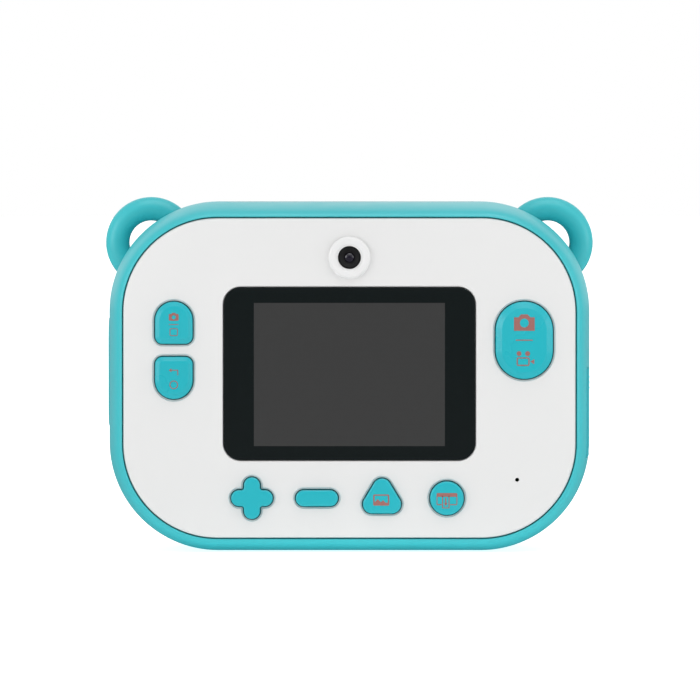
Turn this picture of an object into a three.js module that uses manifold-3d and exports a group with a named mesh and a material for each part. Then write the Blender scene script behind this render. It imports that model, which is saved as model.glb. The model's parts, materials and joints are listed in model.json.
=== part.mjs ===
// A kids' instant-print digital camera, as an assembly of separate pieces.
// Millimetres, +Z up. The screen and keys face -Y, the main lens and the paper door face +Y.
// The origin is on the ground, under the middle of the camera's bounding box.

import * as THREE from "three";
import { mergeVertices } from "three/addons/utils/BufferGeometryUtils.js";
import Module from "manifold-3d";

const wasm = await Module();
wasm.setup();

// ---------------------------------------------------------------- driving dimensions

const GAP = 0.3; // clearance between two pieces that fit together
const BODY = { w: 123.8, h: 89.8, d: 48, r: 28 }; // the teal case: width, height, depth, corner radius
const WALL = 2.2; // case wall
const FLAT_HALF = 8; // the side walls are flat this far each way from the parting plane
const RIM_INSET = 3.6; // how far the case closes in from its widest outline to its rims
const PANEL_T = 2; // white face panels
const LEDGE = { width: 2.5, t: 1.5 }; // shelf in each case half that a panel sits on
const FACE_Y = BODY.d / 2; // the panels' outer faces are at -FACE_Y and +FACE_Y
const BACK_OF_PANEL = FACE_Y - PANEL_T;
const KEY = { proud: 1.2, flange: 0.8, flangeGrow: 0.9, stemR: 1.5 };
const LENS_RING_PROUD = 4.8;
const MIDDLE_Y = (KEY.proud - LENS_RING_PROUD) / 2; // puts the bounding box's middle on Y = 0

const BOARD = { y0: -17.5, y1: -15.9, halfW: 49, z0: 8, z1: 71 };
const SCREEN = { z: 46, w: 64.6, h: 44.4, r: 4.5, t: 1.2, viewW: 48.96, viewH: 36.72, holeW: 54, holeH: 40.4 };
const LCD = { halfW: 30, halfH: 21.4, glassHalfW: 26, glassHalfH: 19.2 };
const SELFIE = { z: 75.8, r: 5.4, bore: 2.95, spigot: 4.2, moduleHalf: 4.2 };
const LENS = { z: 65.5, r: 16.5, bore: 11.5, spigot: 14 };
const FLASH = { x: 27, z: 75, r: 3.2 };
const MIC = { x: 43, z: 18.8, r: 0.5 };
const LOOP = { x: 51.3, z: 79.3, ring: 8.69, tube: 3.06 }; // the two strap loops, like ears
const DOOR = { w: 66, z0: 8.5, z1: 44.5, r: 6, gap: 0.35, knuckle: 3.2, pin: 1.2 };
const DOOR_GRIP = { r: 1.6, halfW: 12 };
const HINGE = { y: FACE_Y - DOOR.knuckle, z: DOOR.z0 + DOOR.knuckle };
const ROLL = { y: 5.5, z: 26, r: 14, bore: 6.3, halfW: 28.5 };
const BAY = { halfW: 31.3, t: 1.5, y0: -11, y1: 21.6, z0: 8.8, z1: 45.2, hub: 5.6 };
const PLATEN = { y: 4.4, z: 75, r: 4.5, shaft: 1.25, halfL: 26.5 };
const PAPER = { y: -0.45, t: 0.25, bendZ: 65, top: 88.6 };
const EXIT = { w: 64, d: 8.4, flange: 1.2, slotW: 59, slotD: 2.4, tooth: 2, toothH: 0.8 };
const CHEEK = { x0: 29.5, x1: 30.7 };
const GRILLE = { z: 45.8, slots: 13, pitch: 1.94, slotW: 9, slotH: 0.95, w: 12.5, h: 28, proud: 0.35 };
const PORT = { y0: -18.2, y1: -10.4, z0: 24.3, z1: 47.2, t: 1.6 };
const BOSSES = [[-53, 61], [53, 61], [-49.8, 18], [49.8, 18]];
const BOSS_R = 3.2;
const GEAR = { module: 0.5, pinion: 10, large: 30, small: 12, platen: 28 };

// Outlines of the keys on the screen side, seen in X and Z.
const KEYS = {
  mode_key: { shape: "arch", x: -45, z: 59.1, w: 9.6, h: 10.8, corner: 1.9, up: 1 },
  back_key: { shape: "arch", x: -45, z: 44.95, w: 9.6, h: 10.8, corner: 1.9, up: -1 },
  shutter_key: { shape: "pill", x: 44.8, z: 54.6, w: 14.65, h: 19.8 },
  plus_key: { shape: "plus", x: -25, z: 14.1, span: 10.65, arm: 4.1, corner: 0.7 },
  minus_key: { shape: "pill", x: -8.35, z: 14.1, w: 10.8, h: 4.1 },
  gallery_key: { shape: "triangle", x: 8.35, z: 14.7, w: 9.8, h: 9, corner: 2.35 },
  print_key: { shape: "disc", x: 25, z: 14.1, r: 4.3 },
};

// ---------------------------------------------------------------- materials

const plastic = (color, roughness = 0.45) => new THREE.MeshStandardMaterial({ color, roughness });
const metal = (color, roughness = 0.3) => new THREE.MeshStandardMaterial({ color, roughness, metalness: 1 });
const MATERIALS = {
  teal: plastic(0x4cc3cb),
  white: plastic(0xececec, 0.5),
  black: plastic(0x161a1b, 0.4),
  ivory: plastic(0xd8d4c4, 0.6),
  gear: plastic(0xf2f0e8, 0.4),
  window: plastic(0x121819, 0.08),
  display: plastic(0x3d3d3d, 0.3),
  board: plastic(0x1c5a3c, 0.5),
  foam: plastic(0x222222, 0.95),
  rubber: plastic(0x44bcc4, 0.8),
  darkRubber: plastic(0x202224, 0.85),
  paper: plastic(0xf7f6f2, 0.9),
  cell: plastic(0xb9bec4, 0.35),
  steel: metal(0xb8bcc0),
  aluminium: metal(0xd0d3d6, 0.4),
};

// ---------------------------------------------------------------- solids

// A closed three.js geometry as a solid that can be cut and joined, with its faces pointing out.
function solid(geometry) {
  const bare = geometry.clone();
  bare.deleteAttribute("normal");
  bare.deleteAttribute("uv");
  const merged = mergeVertices(bare, 1e-4);
  const kept = [];
  for (let i = 0; i < merged.index.count; i += 3) {
    const [a, b, c] = [0, 1, 2].map((k) => merged.index.getX(i + k));
    if (a !== b && b !== c && c !== a) kept.push(a, b, c);
  }
  const make = (triangles) =>
    new wasm.Manifold(
      new wasm.Mesh({
        numProp: 3,
        vertProperties: merged.attributes.position.array,
        triVerts: new Uint32Array(triangles),
      }),
    );
  const made = make(kept);
  return made.volume() > 0 ? made : make(kept.slice().reverse());
}

// A solid's surface as a three.js geometry.
function surface(made) {
  const mesh = made.getMesh();
  const geometry = new THREE.BufferGeometry();
  geometry.setAttribute("position", new THREE.BufferAttribute(new Float32Array(mesh.vertProperties), 3));
  geometry.setIndex(new THREE.BufferAttribute(new Uint32Array(mesh.triVerts), 1));
  geometry.computeVertexNormals();
  return geometry;
}

const join = (first, ...rest) => rest.reduce((made, s) => made.add(s), first);
const cut = (first, ...tools) => tools.reduce((made, s) => made.subtract(s), first);

const camera = new THREE.Group();
camera.position.y = MIDDLE_Y;

function add(name, made, material) {
  const mesh = new THREE.Mesh(surface(made), MATERIALS[material]);
  mesh.name = name;
  camera.add(mesh);
}

// ---------------------------------------------------------------- outlines

// Points of an arc. Angles are in degrees, anticlockwise from +X.
function arc(cx, cy, r, from, to, steps = 6) {
  return Array.from({ length: steps + 1 }, (_, i) => {
    const a = THREE.MathUtils.degToRad(from + ((to - from) * i) / steps);
    return new THREE.Vector2(cx + r * Math.cos(a), cy + r * Math.sin(a));
  });
}

const circle = (cx, cy, r, steps = 20) => arc(cx, cy, r, 0, 360, steps).slice(0, -1);

function roundRect(cx, cy, w, h, r, steps = 4) {
  const [dx, dy] = [w / 2 - r, h / 2 - r];
  return [
    ...arc(cx + dx, cy + dy, r, 0, 90, steps),
    ...arc(cx - dx, cy + dy, r, 90, 180, steps),
    ...arc(cx - dx, cy - dy, r, 180, 270, steps),
    ...arc(cx + dx, cy - dy, r, 270, 360, steps),
  ];
}

function rectangle(x0, x1, y0, y1) {
  return [[x0, y0], [x1, y0], [x1, y1], [x0, y1]].map(([x, y]) => new THREE.Vector2(x, y));
}

// A key's outline in X and Z, grown outwards by g.
function keyOutline(k, g = 0) {
  if (k.shape === "disc") return circle(k.x, k.z, k.r + g);
  if (k.shape === "pill") {
    const r = Math.min(k.w, k.h) / 2 + g;
    return roundRect(k.x, k.z, k.w + 2 * g, k.h + 2 * g, r - 0.001, 5);
  }
  if (k.shape === "arch") {
    const [half, c] = [k.w / 2, k.corner];
    const top = arc(0, k.h / 2 - half, half + g, 0, 180, 8);
    const left = arc(-half + c, -k.h / 2 + c, c + g, 180, 270, 3);
    const right = arc(half - c, -k.h / 2 + c, c + g, 270, 360, 3);
    return [...top, ...left, ...right].map((p) => new THREE.Vector2(k.x + k.up * p.x, k.z + k.up * p.y));
  }
  if (k.shape === "triangle") {
    const [dx, low, high] = [k.w / 2 - k.corner, -k.h / 2 + k.corner, k.h / 2 - k.corner];
    return [
      ...arc(k.x, k.z + high, k.corner + g, 30, 150, 5),
      ...arc(k.x - dx, k.z + low, k.corner + g, 150, 270, 5),
      ...arc(k.x + dx, k.z + low, k.corner + g, 270, 390, 5),
    ];
  }
  const [a, tip, c] = [k.arm / 2, k.span / 2 - k.arm / 2, k.corner];
  return [0, 90, 180, 270].flatMap((turn) =>
    [...arc(tip, 0, a + g, -90, 90, 6), ...arc(a + c, a + c, c - g, 270, 180, 2)].map((p) =>
      p.rotateAround(new THREE.Vector2(), THREE.MathUtils.degToRad(turn)).add(new THREE.Vector2(k.x, k.z)),
    ),
  );
}

// ---------------------------------------------------------------- shape makers

const shapeOf = (points, holes = []) => {
  const shape = new THREE.Shape(points);
  shape.holes = holes.map((h) => new THREE.Path(h));
  return shape;
};

// An outline in X and Z, from y0 to y1.
function slabY(points, y0, y1, holes) {
  const geometry = new THREE.ExtrudeGeometry(shapeOf(points, holes), { depth: y1 - y0, bevelEnabled: false });
  return solid(geometry.rotateX(Math.PI / 2).translate(0, y1, 0));
}

// An outline in Y and Z, from x0 to x1.
function slabX(points, x0, x1, holes) {
  const geometry = new THREE.ExtrudeGeometry(shapeOf(points, holes), { depth: x1 - x0, bevelEnabled: false });
  return solid(geometry.rotateY(Math.PI / 2).rotateX(Math.PI / 2).translate(x0, 0, 0));
}

// An outline in X and Y, from z0 to z1.
function slabZ(points, z0, z1, holes) {
  const geometry = new THREE.ExtrudeGeometry(shapeOf(points, holes), { depth: z1 - z0, bevelEnabled: false });
  return solid(geometry.translate(0, 0, z0));
}

const block = (x0, x1, y0, y1, z0, z1) => slabZ(rectangle(x0, x1, y0, y1), z0, z1);
const rodY = (x, z, r, y0, y1, sides = 16) => slabY(circle(x, z, r, sides), y0, y1);
const rodX = (y, z, r, x0, x1, sides = 16) => slabX(circle(y, z, r, sides), x0, x1);

// A turned piece about a line along Y through (x, z). The profile is a closed list of [radius, y].
function turnedY(x, z, profile, sides = 28) {
  const points = [...profile, profile[0]].map(([r, y]) => new THREE.Vector2(r, y));
  return solid(new THREE.LatheGeometry(points, sides).translate(x, 0, z));
}

// The case's rounded outline, as corner centres and outward directions.
const CORNER_STEPS = 8;
const caseOutline = [[1, 1, 0], [-1, 1, 90], [-1, -1, 180], [1, -1, 270]].flatMap(([sx, sz, from]) =>
  arc(0, 0, 1, from, from + 90, CORNER_STEPS).map((n) => ({
    x: sx * (BODY.w / 2 - BODY.r),
    z: BODY.h / 2 + sz * (BODY.h / 2 - BODY.r),
    n,
  })),
);

// Sweeps a closed profile of [inset, y] round the case's outline.
function swept(profile) {
  const [rings, across] = [caseOutline.length, profile.length];
  const positions = caseOutline.flatMap(({ x, z, n }) =>
    profile.flatMap(([inset, y]) => [x + (BODY.r - inset) * n.x, y, z + (BODY.r - inset) * n.y]),
  );
  const at = (i, j) => (i % rings) * across + (j % across);
  const index = [];
  for (let i = 0; i < rings; i++)
    for (let j = 0; j < across; j++) {
      index.push(at(i, j), at(i + 1, j), at(i + 1, j + 1));
      index.push(at(i, j), at(i + 1, j + 1), at(i, j + 1));
    }
  const geometry = new THREE.BufferGeometry();
  geometry.setAttribute("position", new THREE.Float32BufferAttribute(positions, 3));
  geometry.setIndex(index);
  return solid(geometry);
}

// The case's outline at an inset, as points in X and Z.
const caseShape = (inset) =>
  caseOutline.map(({ x, z, n }) => new THREE.Vector2(x + (BODY.r - inset) * n.x, z + (BODY.r - inset) * n.y));

// ---------------------------------------------------------------- case halves

// How far the outside of the case has closed in at a distance from the parting plane: a quarter ellipse.
function crown(distance) {
  const t = Math.min(1, Math.max(0, (distance - FLAT_HALF) / (FACE_Y - FLAT_HALF)));
  return RIM_INSET * (1 - Math.sqrt(1 - t * t));
}

// Profile of one case half, from its parting face out to its rim and back inside. side is -1 or +1.
function caseProfile(side, partingFace) {
  const outside = [FLAT_HALF, 16, 20, 22.5, 23.6, FACE_Y].map((d) => [crown(d), side * d]);
  const ledgeY = BACK_OF_PANEL - 0.2;
  const ledgeEnd = RIM_INSET + LEDGE.width;
  const inside = [
    [RIM_INSET, side * ledgeY],
    [ledgeEnd, side * ledgeY],
    [ledgeEnd, side * (ledgeY - LEDGE.t)],
    [crown(ledgeY - LEDGE.t) + WALL, side * (ledgeY - LEDGE.t)],
    [crown(16) + WALL, side * 16],
    [WALL, side * FLAT_HALF],
  ];
  return [...partingFace, ...outside, ...inside];
}

// A screw boss with a rib to the side wall.
function boss([x, z], y0, y1, hole, holeY0, holeY1) {
  const wallX = Math.sign(x) * (Math.abs(z - BODY.h / 2) > 20 ? 58.6 : 60.6);
  const rib = block(Math.min(x, wallX), Math.max(x, wallX), y0, y1, z - 1, z + 1);
  return [join(rodY(x, z, BOSS_R, y0, y1), rib), rodY(x, z, hole, holeY0, holeY1, 12)];
}

const loopSolid = (side, grow = 0) =>
  solid(
    new THREE.TorusGeometry(LOOP.ring, LOOP.tube + grow, 10, 24)
      .rotateX(Math.PI / 2)
      .translate(side * LOOP.x, 0, LOOP.z),
  );
const grilleOutline = (g) => roundRect(0, GRILLE.z, GRILLE.w + 2 * g, GRILLE.h + 2 * g, GRILLE.w / 2 + g - 0.01, 5);
const exitOutline = (g) => roundRect(0, PAPER.y, EXIT.w + 2 * g, EXIT.d + 2 * g, 3 + g, 4);
const caseOpenings = () => [
  loopSolid(-1, GAP),
  loopSolid(1, GAP),
  slabX(grilleOutline(GAP), -BODY.w / 2 - 2, -BODY.w / 2 + 5),
  slabZ(exitOutline(GAP), BODY.h - WALL, BODY.h + 2),
  slabZ(exitOutline(EXIT.flange + GAP), BODY.h - 6, BODY.h - WALL + 0.02),
];

function rearShell() {
  // The lip stands inside the front half and lines the two up.
  const lip = [[WALL, -4.2], [3.4, -3], [3.4, 2], [2.45, 2], [2.45, -0.1], [0, -0.1]];
  let made = swept(caseProfile(-1, lip));
  for (const at of BOSSES) {
    const [post, hole] = boss(at, -16.8, -0.5, 1.35, -10, 0);
    made = cut(join(made, post), hole);
  }
  const portHole = slabX(rectangle(PORT.y0 - GAP, PORT.y1 + GAP, PORT.z0 - GAP, PORT.z1 + GAP), 56, 64);
  return cut(made, ...caseOpenings(), portHole);
}

function frontShell() {
  let made = swept(caseProfile(1, [[WALL, 0.1], [0, 0.1]]));
  for (const at of BOSSES) {
    const [post, hole] = boss(at, 2.4, 18, 1.6, 0, 20);
    made = cut(join(made, post), hole);
  }
  return cut(made, ...caseOpenings());
}

add("rear_shell", rearShell(), "teal");
add("front_shell", frontShell(), "teal");
add("strap_loop_left", loopSolid(-1), "teal");
add("strap_loop_right", loopSolid(1), "teal");

// ---------------------------------------------------------------- screen side panel

const BOARD_POSTS = [[-37, 69], [37, 69]];

function rearPanel() {
  const keyHoles = Object.values(KEYS).map((k) => keyOutline(k, GAP));
  const view = roundRect(0, SCREEN.z, SCREEN.holeW, SCREEN.holeH, 1, 2);
  const selfieHole = circle(0, SELFIE.z, SELFIE.spigot + GAP);
  const holes = [...keyHoles, view, selfieHole, circle(MIC.x, MIC.z, MIC.r, 8)];
  const plate = slabY(caseShape(RIM_INSET + GAP), -FACE_Y, -BACK_OF_PANEL, holes);
  const seat = slabY(
    roundRect(0, SCREEN.z, SCREEN.w + 2 * GAP, SCREEN.h + 2 * GAP, SCREEN.r + GAP),
    -FACE_Y - 1,
    -FACE_Y + SCREEN.t + GAP,
  );
  const posts = BOARD_POSTS.map(([x, z]) =>
    cut(rodY(x, z, 2.3, -BACK_OF_PANEL - 0.5, BOARD.y0 - GAP), rodY(x, z, 1, -21.5, -16, 10)),
  );
  return join(cut(plate, seat), ...posts);
}

add("rear_panel", rearPanel(), "white");
add(
  "screen_window",
  slabY(roundRect(0, SCREEN.z, SCREEN.w, SCREEN.h, SCREEN.r), -FACE_Y + 0.05, -FACE_Y + SCREEN.t),
  "window",
);
const gasketHole = roundRect(0, SCREEN.z, SCREEN.viewW + 0.6, SCREEN.viewH + 0.6, 0.5, 1);
const gasketEdge = roundRect(0, SCREEN.z, SCREEN.holeW - 2 * GAP, SCREEN.holeH - 2 * GAP, 0.8, 2);
add("screen_gasket", slabY(gasketEdge, -22.4, -21.9, [gasketHole]), "foam");

function lcdModule() {
  const frame = block(-LCD.halfW, LCD.halfW, -21.7, -19.4, SCREEN.z - LCD.halfH, SCREEN.z + LCD.halfH);
  const [glassLow, glassHigh] = [SCREEN.z - LCD.glassHalfH, SCREEN.z + LCD.glassHalfH];
  const glass = block(-LCD.glassHalfW, LCD.glassHalfW, -21.85, -21.6, glassLow, glassHigh);
  return join(frame, glass);
}
add("lcd_module", lcdModule(), "display");

// ---------------------------------------------------------------- keys and their switches

for (const [name, k] of Object.entries(KEYS)) {
  const flangeY = -BACK_OF_PANEL + 0.2;
  const cap = slabY(keyOutline(k), -FACE_Y - KEY.proud, flangeY + 0.1);
  const flange = slabY(keyOutline(k, KEY.flangeGrow), flangeY, flangeY + KEY.flange);
  const stem = rodY(k.x, k.z, KEY.stemR, flangeY + 0.5, -19.2, 12);
  add(name, join(cap, flange, stem), "teal");

  const switchBody = block(k.x - 3.1, k.x + 3.1, -20, BOARD.y0 - 0.05, k.z - 3.1, k.z + 3.1);
  const well = rodY(k.x, k.z, KEY.stemR + GAP, -21, -18.3, 12);
  add(name.replace("key", "switch"), cut(switchBody, well), "black");
}

// ---------------------------------------------------------------- main board

function mainBoard() {
  const tongue = block(40, 57.5, BOARD.y0, BOARD.y1, 24.4, 47.6);
  const sheet = slabY(
    roundRect(0, (BOARD.z0 + BOARD.z1) / 2, 2 * BOARD.halfW, BOARD.z1 - BOARD.z0, 6, 3),
    BOARD.y0,
    BOARD.y1,
  );
  const clear = BOSSES.map(([x, z]) => rodY(x, z, BOSS_R + 1, -18, -15, 12));
  const screwHoles = BOARD_POSTS.map(([x, z]) => rodY(x, z, 1.1, -18, -15, 10));
  const chip = block(-12, 4, BOARD.y1 - 0.2, BOARD.y1 + 1.2, 30, 46);
  return cut(join(sheet, tongue, chip), ...clear, ...screwHoles);
}
add("main_board", mainBoard(), "board");

// A pan-head screw along Y: the head's underside at y, the shank going towards -Y.
function screw(x, z, y, length, shank, head) {
  const profile = [[0, y - length], [shank * 0.5, y - length], [shank, y - length + shank], [shank, y],
    [head, y], [head, y + head * 0.4], [0, y + head * 0.7]];
  const slot = (w, h) => block(x - w, x + w, y + head * 0.3, y + head, z - h, z + h);
  return cut(turnedY(x, z, profile, 10), join(slot(head * 0.55, 0.25), slot(0.25, head * 0.55)));
}
BOARD_POSTS.forEach(([x, z], i) => add(`board_screw_${i + 1}`, screw(x, z, BOARD.y1 + 0.05, 5, 0.85, 1.7), "steel"));
BOSSES.forEach((at, i) => add(`case_screw_${i + 1}`, screw(...at, 18.1, 25, 1.2, 2.6), "steel"));

const USB_Z = 30.2;
const usbShell = roundRect(-14.1, USB_Z, 3.2, 9, 1.5, 3);
const usbMouth = slabX(roundRect(-14.1, USB_Z, 2.5, 8.3, 1.2, 3), 53.5, 60);
const usbTongue = block(53, 57.8, -14.4, -13.8, USB_Z - 3.2, USB_Z + 3.2);
add("usb_socket", join(cut(slabX(usbShell, 51.5, 58.8), usbMouth), usbTongue), "steel");
const cardMouth = block(47, 60, -15.3, -14.5, 36.6, 45.9);
add("card_socket", cut(block(45.5, 58.6, BOARD.y1 + 0.05, -14.2, 35.6, 46.9), cardMouth), "steel");

// ---------------------------------------------------------------- selfie camera, on the screen side

const selfieRing = [[SELFIE.bore, -21.2], [SELFIE.spigot, -21.2], [SELFIE.spigot, -24.1], [SELFIE.r, -24.1],
  [SELFIE.r, -24.8], [5.05, -25.15], [3.6, -25.15], [SELFIE.bore, -24.6]];
add("selfie_ring", turnedY(0, SELFIE.z, selfieRing), "white");
const selfieLens = [[0, -24.1], [1, -24.1], [1.6, -24.35], [2.65, -24.35], [2.65, -20.2], [0, -20.2]];
add("selfie_lens", turnedY(0, SELFIE.z, selfieLens, 20), "black");
const [moduleLow, moduleHigh] = [SELFIE.z - SELFIE.moduleHalf, SELFIE.z + SELFIE.moduleHalf];
add("selfie_module", block(-SELFIE.moduleHalf, SELFIE.moduleHalf, -20, -16.4, moduleLow, moduleHigh), "black");

// ---------------------------------------------------------------- lens side panel

// The door's outline, grown by g. Its lower corners are square, so that it can swing down in its doorway.
function doorOutline(g) {
  const [dx, high] = [DOOR.w / 2 - DOOR.r, DOOR.z1 - DOOR.r];
  const foot = [-1, 1].map((side) => new THREE.Vector2(side * (DOOR.w / 2 + g), DOOR.z0 - g));
  return [...arc(dx, high, DOOR.r + g, 0, 90, 4), ...arc(-dx, high, DOOR.r + g, 90, 180, 4), ...foot];
}

const LUG = { x0: DOOR.w / 2 + 0.4, x1: DOOR.w / 2 + 3, y0: 17.4 };

function frontPanel() {
  const holes = [doorOutline(DOOR.gap), circle(0, LENS.z, LENS.spigot + GAP, 28), circle(FLASH.x, FLASH.z, FLASH.r + GAP)];
  const plate = slabY(caseShape(RIM_INSET + GAP), BACK_OF_PANEL, FACE_Y, holes);
  const lugs = [-1, 1].map((side) => {
    const [x0, x1] = side < 0 ? [-LUG.x1, -LUG.x0] : [LUG.x0, LUG.x1];
    const ear = block(x0, x1, LUG.y0, BACK_OF_PANEL + 0.5, HINGE.z - 3, HINGE.z + 3);
    return cut(ear, rodX(HINGE.y, HINGE.z, DOOR.pin + 0.25, x0 - 1, x1 + 1, 12));
  });
  return join(plate, ...lugs);
}
add("front_panel", frontPanel(), "white");

// ---------------------------------------------------------------- paper door, hinged along its lower edge

function paperDoor() {
  const section = [
    new THREE.Vector2(BACK_OF_PANEL, DOOR.z1 + 1),
    new THREE.Vector2(BACK_OF_PANEL, HINGE.z + DOOR.knuckle * 0.9),
    ...arc(HINGE.y, HINGE.z, DOOR.knuckle, 90, 360, 18),
    new THREE.Vector2(FACE_Y, DOOR.z1 + 1),
  ];
  const plate = slabX(section, -DOOR.w, DOOR.w).intersect(slabY(doorOutline(0), 10, 30));
  const ribs = slabY(roundRect(0, 30.4, 56, 25, 2, 2), 20.6, BACK_OF_PANEL + 0.3, [roundRect(0, 30.4, 53, 22, 1, 2)]);
  const catchTab = block(-6, 6, 20.4, BACK_OF_PANEL + 0.3, 42.6, 44.1);
  const grip = rodX(FACE_Y, DOOR.z1 - 4, DOOR_GRIP.r, -DOOR_GRIP.halfW, DOOR_GRIP.halfW, 16);
  const raisedGrip = cut(grip, block(-40, 40, 15, BACK_OF_PANEL + 0.5, 30, 50));
  const pin = rodX(HINGE.y, HINGE.z, DOOR.pin, -LUG.x1, LUG.x1, 12);
  return join(plate, ribs, catchTab, raisedGrip, pin);
}
add("paper_door", paperDoor(), "teal");

// ---------------------------------------------------------------- paper roll, its bay and the paper's path

function rollBay() {
  const { halfW, t, y0, y1, z0, z1 } = BAY;
  const tub = block(-halfW, halfW, y0, y1, z0, z1);
  const inside = block(-halfW + t, halfW - t, y0 + t, y1 + 1, z0 + t, z1 - t);
  const paperSlot = block(-ROLL.halfW - 1, ROLL.halfW + 1, -8, -2.5, z1 - 3, z1 + 1);
  const hingeRoom = block(-halfW - 1, halfW + 1, HINGE.y - DOOR.knuckle - 0.6, y1 + 1, z0 - 1, 16);
  const catchRoom = block(-7, 7, 19.8, y1 + 1, z1 - 3, z1 + 1);
  const hubs = [-1, 1].map((side) =>
    rodX(ROLL.y, ROLL.z, BAY.hub, Math.min(side * (halfW - 0.5), side * 27), Math.max(side * (halfW - 0.5), side * 27)),
  );
  return join(cut(tub, inside, paperSlot, hingeRoom, catchRoom), ...hubs);
}
add("roll_bay", rollBay(), "ivory");
const rollSection = [circle(ROLL.y, ROLL.z, ROLL.bore, 24)];
add("paper_roll", slabX(circle(ROLL.y, ROLL.z, ROLL.r, 36), -ROLL.halfW, ROLL.halfW, rollSection), "paper");

// The paper leaves the back of the roll on a tangent, and turns straight up between head and platen.
function paperWeb() {
  const clearR = ROLL.r + 0.25;
  const bend = new THREE.Vector2(PAPER.y, PAPER.bendZ);
  const centre = new THREE.Vector2(ROLL.y, ROLL.z);
  const toBend = bend.clone().sub(centre);
  const turn = Math.acos(clearR / toBend.length());
  const touch = toBend.clone().normalize().rotateAround(new THREE.Vector2(), turn).multiplyScalar(clearR).add(centre);
  const along = bend.clone().sub(touch).normalize();
  const across = new THREE.Vector2(-along.y, along.x).multiplyScalar(PAPER.t);
  const outline = [
    touch,
    new THREE.Vector2(PAPER.y + PAPER.t, PAPER.bendZ),
    new THREE.Vector2(PAPER.y + PAPER.t, PAPER.top),
    new THREE.Vector2(PAPER.y, PAPER.top),
    bend,
    touch.clone().add(across),
  ];
  return slabX(outline, -ROLL.halfW + 0.3, ROLL.halfW - 0.3);
}
add("paper_web", paperWeb(), "paper");

function exitSlot() {
  const plug = slabZ(exitOutline(0), BODY.h - WALL - 0.4, BODY.h - 0.05);
  const flange = slabZ(exitOutline(EXIT.flange), BODY.h - WALL - 1.3, BODY.h - WALL - GAP);
  const teeth = Array.from({ length: Math.floor(EXIT.slotW / EXIT.tooth) }, (_, i) => [
    new THREE.Vector2(-EXIT.slotW / 2 + i * EXIT.tooth, PAPER.y - EXIT.slotD / 2),
    new THREE.Vector2(-EXIT.slotW / 2 + (i + 0.5) * EXIT.tooth, PAPER.y - EXIT.slotD / 2 + EXIT.toothH),
  ]).flat();
  const far = [1, -1].map((s) => new THREE.Vector2((s * EXIT.slotW) / 2, PAPER.y + EXIT.slotD / 2));
  const slot = slabZ([...teeth, new THREE.Vector2(EXIT.slotW / 2, PAPER.y - EXIT.slotD / 2), ...far], 84, 92);
  return cut(join(plug, flange), slot);
}
add("paper_exit", exitSlot(), "white");

// ---------------------------------------------------------------- print mechanism

const REDUCER = { y: PLATEN.y - 6, z: PLATEN.z - 8 };
const PINION = { y: PLATEN.y, z: PLATEN.z - 16 };
const MOTOR = { r: 7.5, x0: -49.2, x1: -37.4, face: -37, postR: 1.5, postD: 10.5 };
// The motor's two mounting posts lie square to the line from pinion to reducer.
const MOTOR_POSTS = [1, -1].map((s) => [PINION.y + s * 0.8 * MOTOR.postD, PINION.z + s * 0.6 * MOTOR.postD]);

function printerFrame() {
  const back = block(-CHEEK.x1, CHEEK.x1, -8.3, -7.2, 64, 84);
  const cheek = roundRect(0, 74, 17, 20, 2, 2);
  const right = slabX(cheek, CHEEK.x0, CHEEK.x1);
  const leftOutline = [[-8.3, 49], [15, 49], [15, 70], [9, 84], [-8.3, 84]].map(([y, z]) => new THREE.Vector2(y, z));
  const left = slabX(leftOutline, -CHEEK.x1, -CHEEK.x0);
  const posts = MOTOR_POSTS.map(([y, z]) => rodX(y, z, MOTOR.postR, MOTOR.face + 0.1, -CHEEK.x1 + 0.5, 10));
  const stud = rodX(REDUCER.y, REDUCER.z, 0.8, -36.6, -CHEEK.x1 + 0.5, 10);
  const bores = rodX(PLATEN.y, PLATEN.z, PLATEN.shaft + 0.15, -32, 32, 14);
  const tie = block(-CHEEK.x1, CHEEK.x1, 10, 11.2, 78, 81);
  return join(cut(join(back, right, left, tie), bores), ...posts, stud);
}
add("printer_frame", printerFrame(), "steel");

const headPlate = block(-26.5, 26.5, -2.2, PAPER.y - 0.15, 66, 83);
const headFins = [-20, -10, 0, 10, 20].map((x) => block(x - 2.5, x + 2.5, -3.4, -2, 77.5, 82.5));
add("print_head", join(headPlate, ...headFins), "aluminium");

// A compression spring along Y, with flat-lying wire of radius 0.3.
function headSpring(x) {
  const [turns, r, y0, y1] = [3.5, 2, -6.8, -2.6];
  class Helix extends THREE.Curve {
    getPoint(t) {
      const a = t * turns * 2 * Math.PI;
      return new THREE.Vector3(x + r * Math.cos(a), y0 + (y1 - y0) * t, 72 + r * Math.sin(a));
    }
  }
  const wire = shapeOf(circle(0, 0, 0.3, 5));
  return solid(new THREE.ExtrudeGeometry(wire, { steps: 36, extrudePath: new Helix() }));
}
add("head_spring_left", headSpring(-18), "steel");
add("head_spring_right", headSpring(18), "steel");

// A spur gear's outline: each tooth is a trapezium with a little backlash, on the standard pitch circle.
function gearOutline(y, z, teeth, turn = 0) {
  const m = GEAR.module;
  const pitch = (m * teeth) / 2;
  const step = (2 * Math.PI) / teeth;
  const flank = [[pitch - 1.15 * m, -0.33], [pitch + 0.85 * m, -0.08]];
  const profile = [...flank, ...flank.map(([r, a]) => [r, -a]).reverse()];
  return Array.from({ length: teeth }, (_, i) =>
    profile.map(([r, a]) => {
      const angle = turn + (i + a) * step;
      return new THREE.Vector2(y + r * Math.cos(angle), z + r * Math.sin(angle));
    }),
  ).flat();
}

// Turns that put a tooth of one gear in a gap of the next, along the line between their centres.
const lineOf = (from, to) => Math.atan2(to.z - from.z, to.y - from.y);
const gapAt = (angle, teeth) => angle + Math.PI / teeth;

const platenTurn = lineOf(PLATEN, REDUCER);
const smallTurn = gapAt(lineOf(REDUCER, PLATEN), GEAR.small);
const largeTurn = gapAt(lineOf(REDUCER, PINION), GEAR.large);
const pinionTurn = lineOf(PINION, REDUCER);

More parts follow.
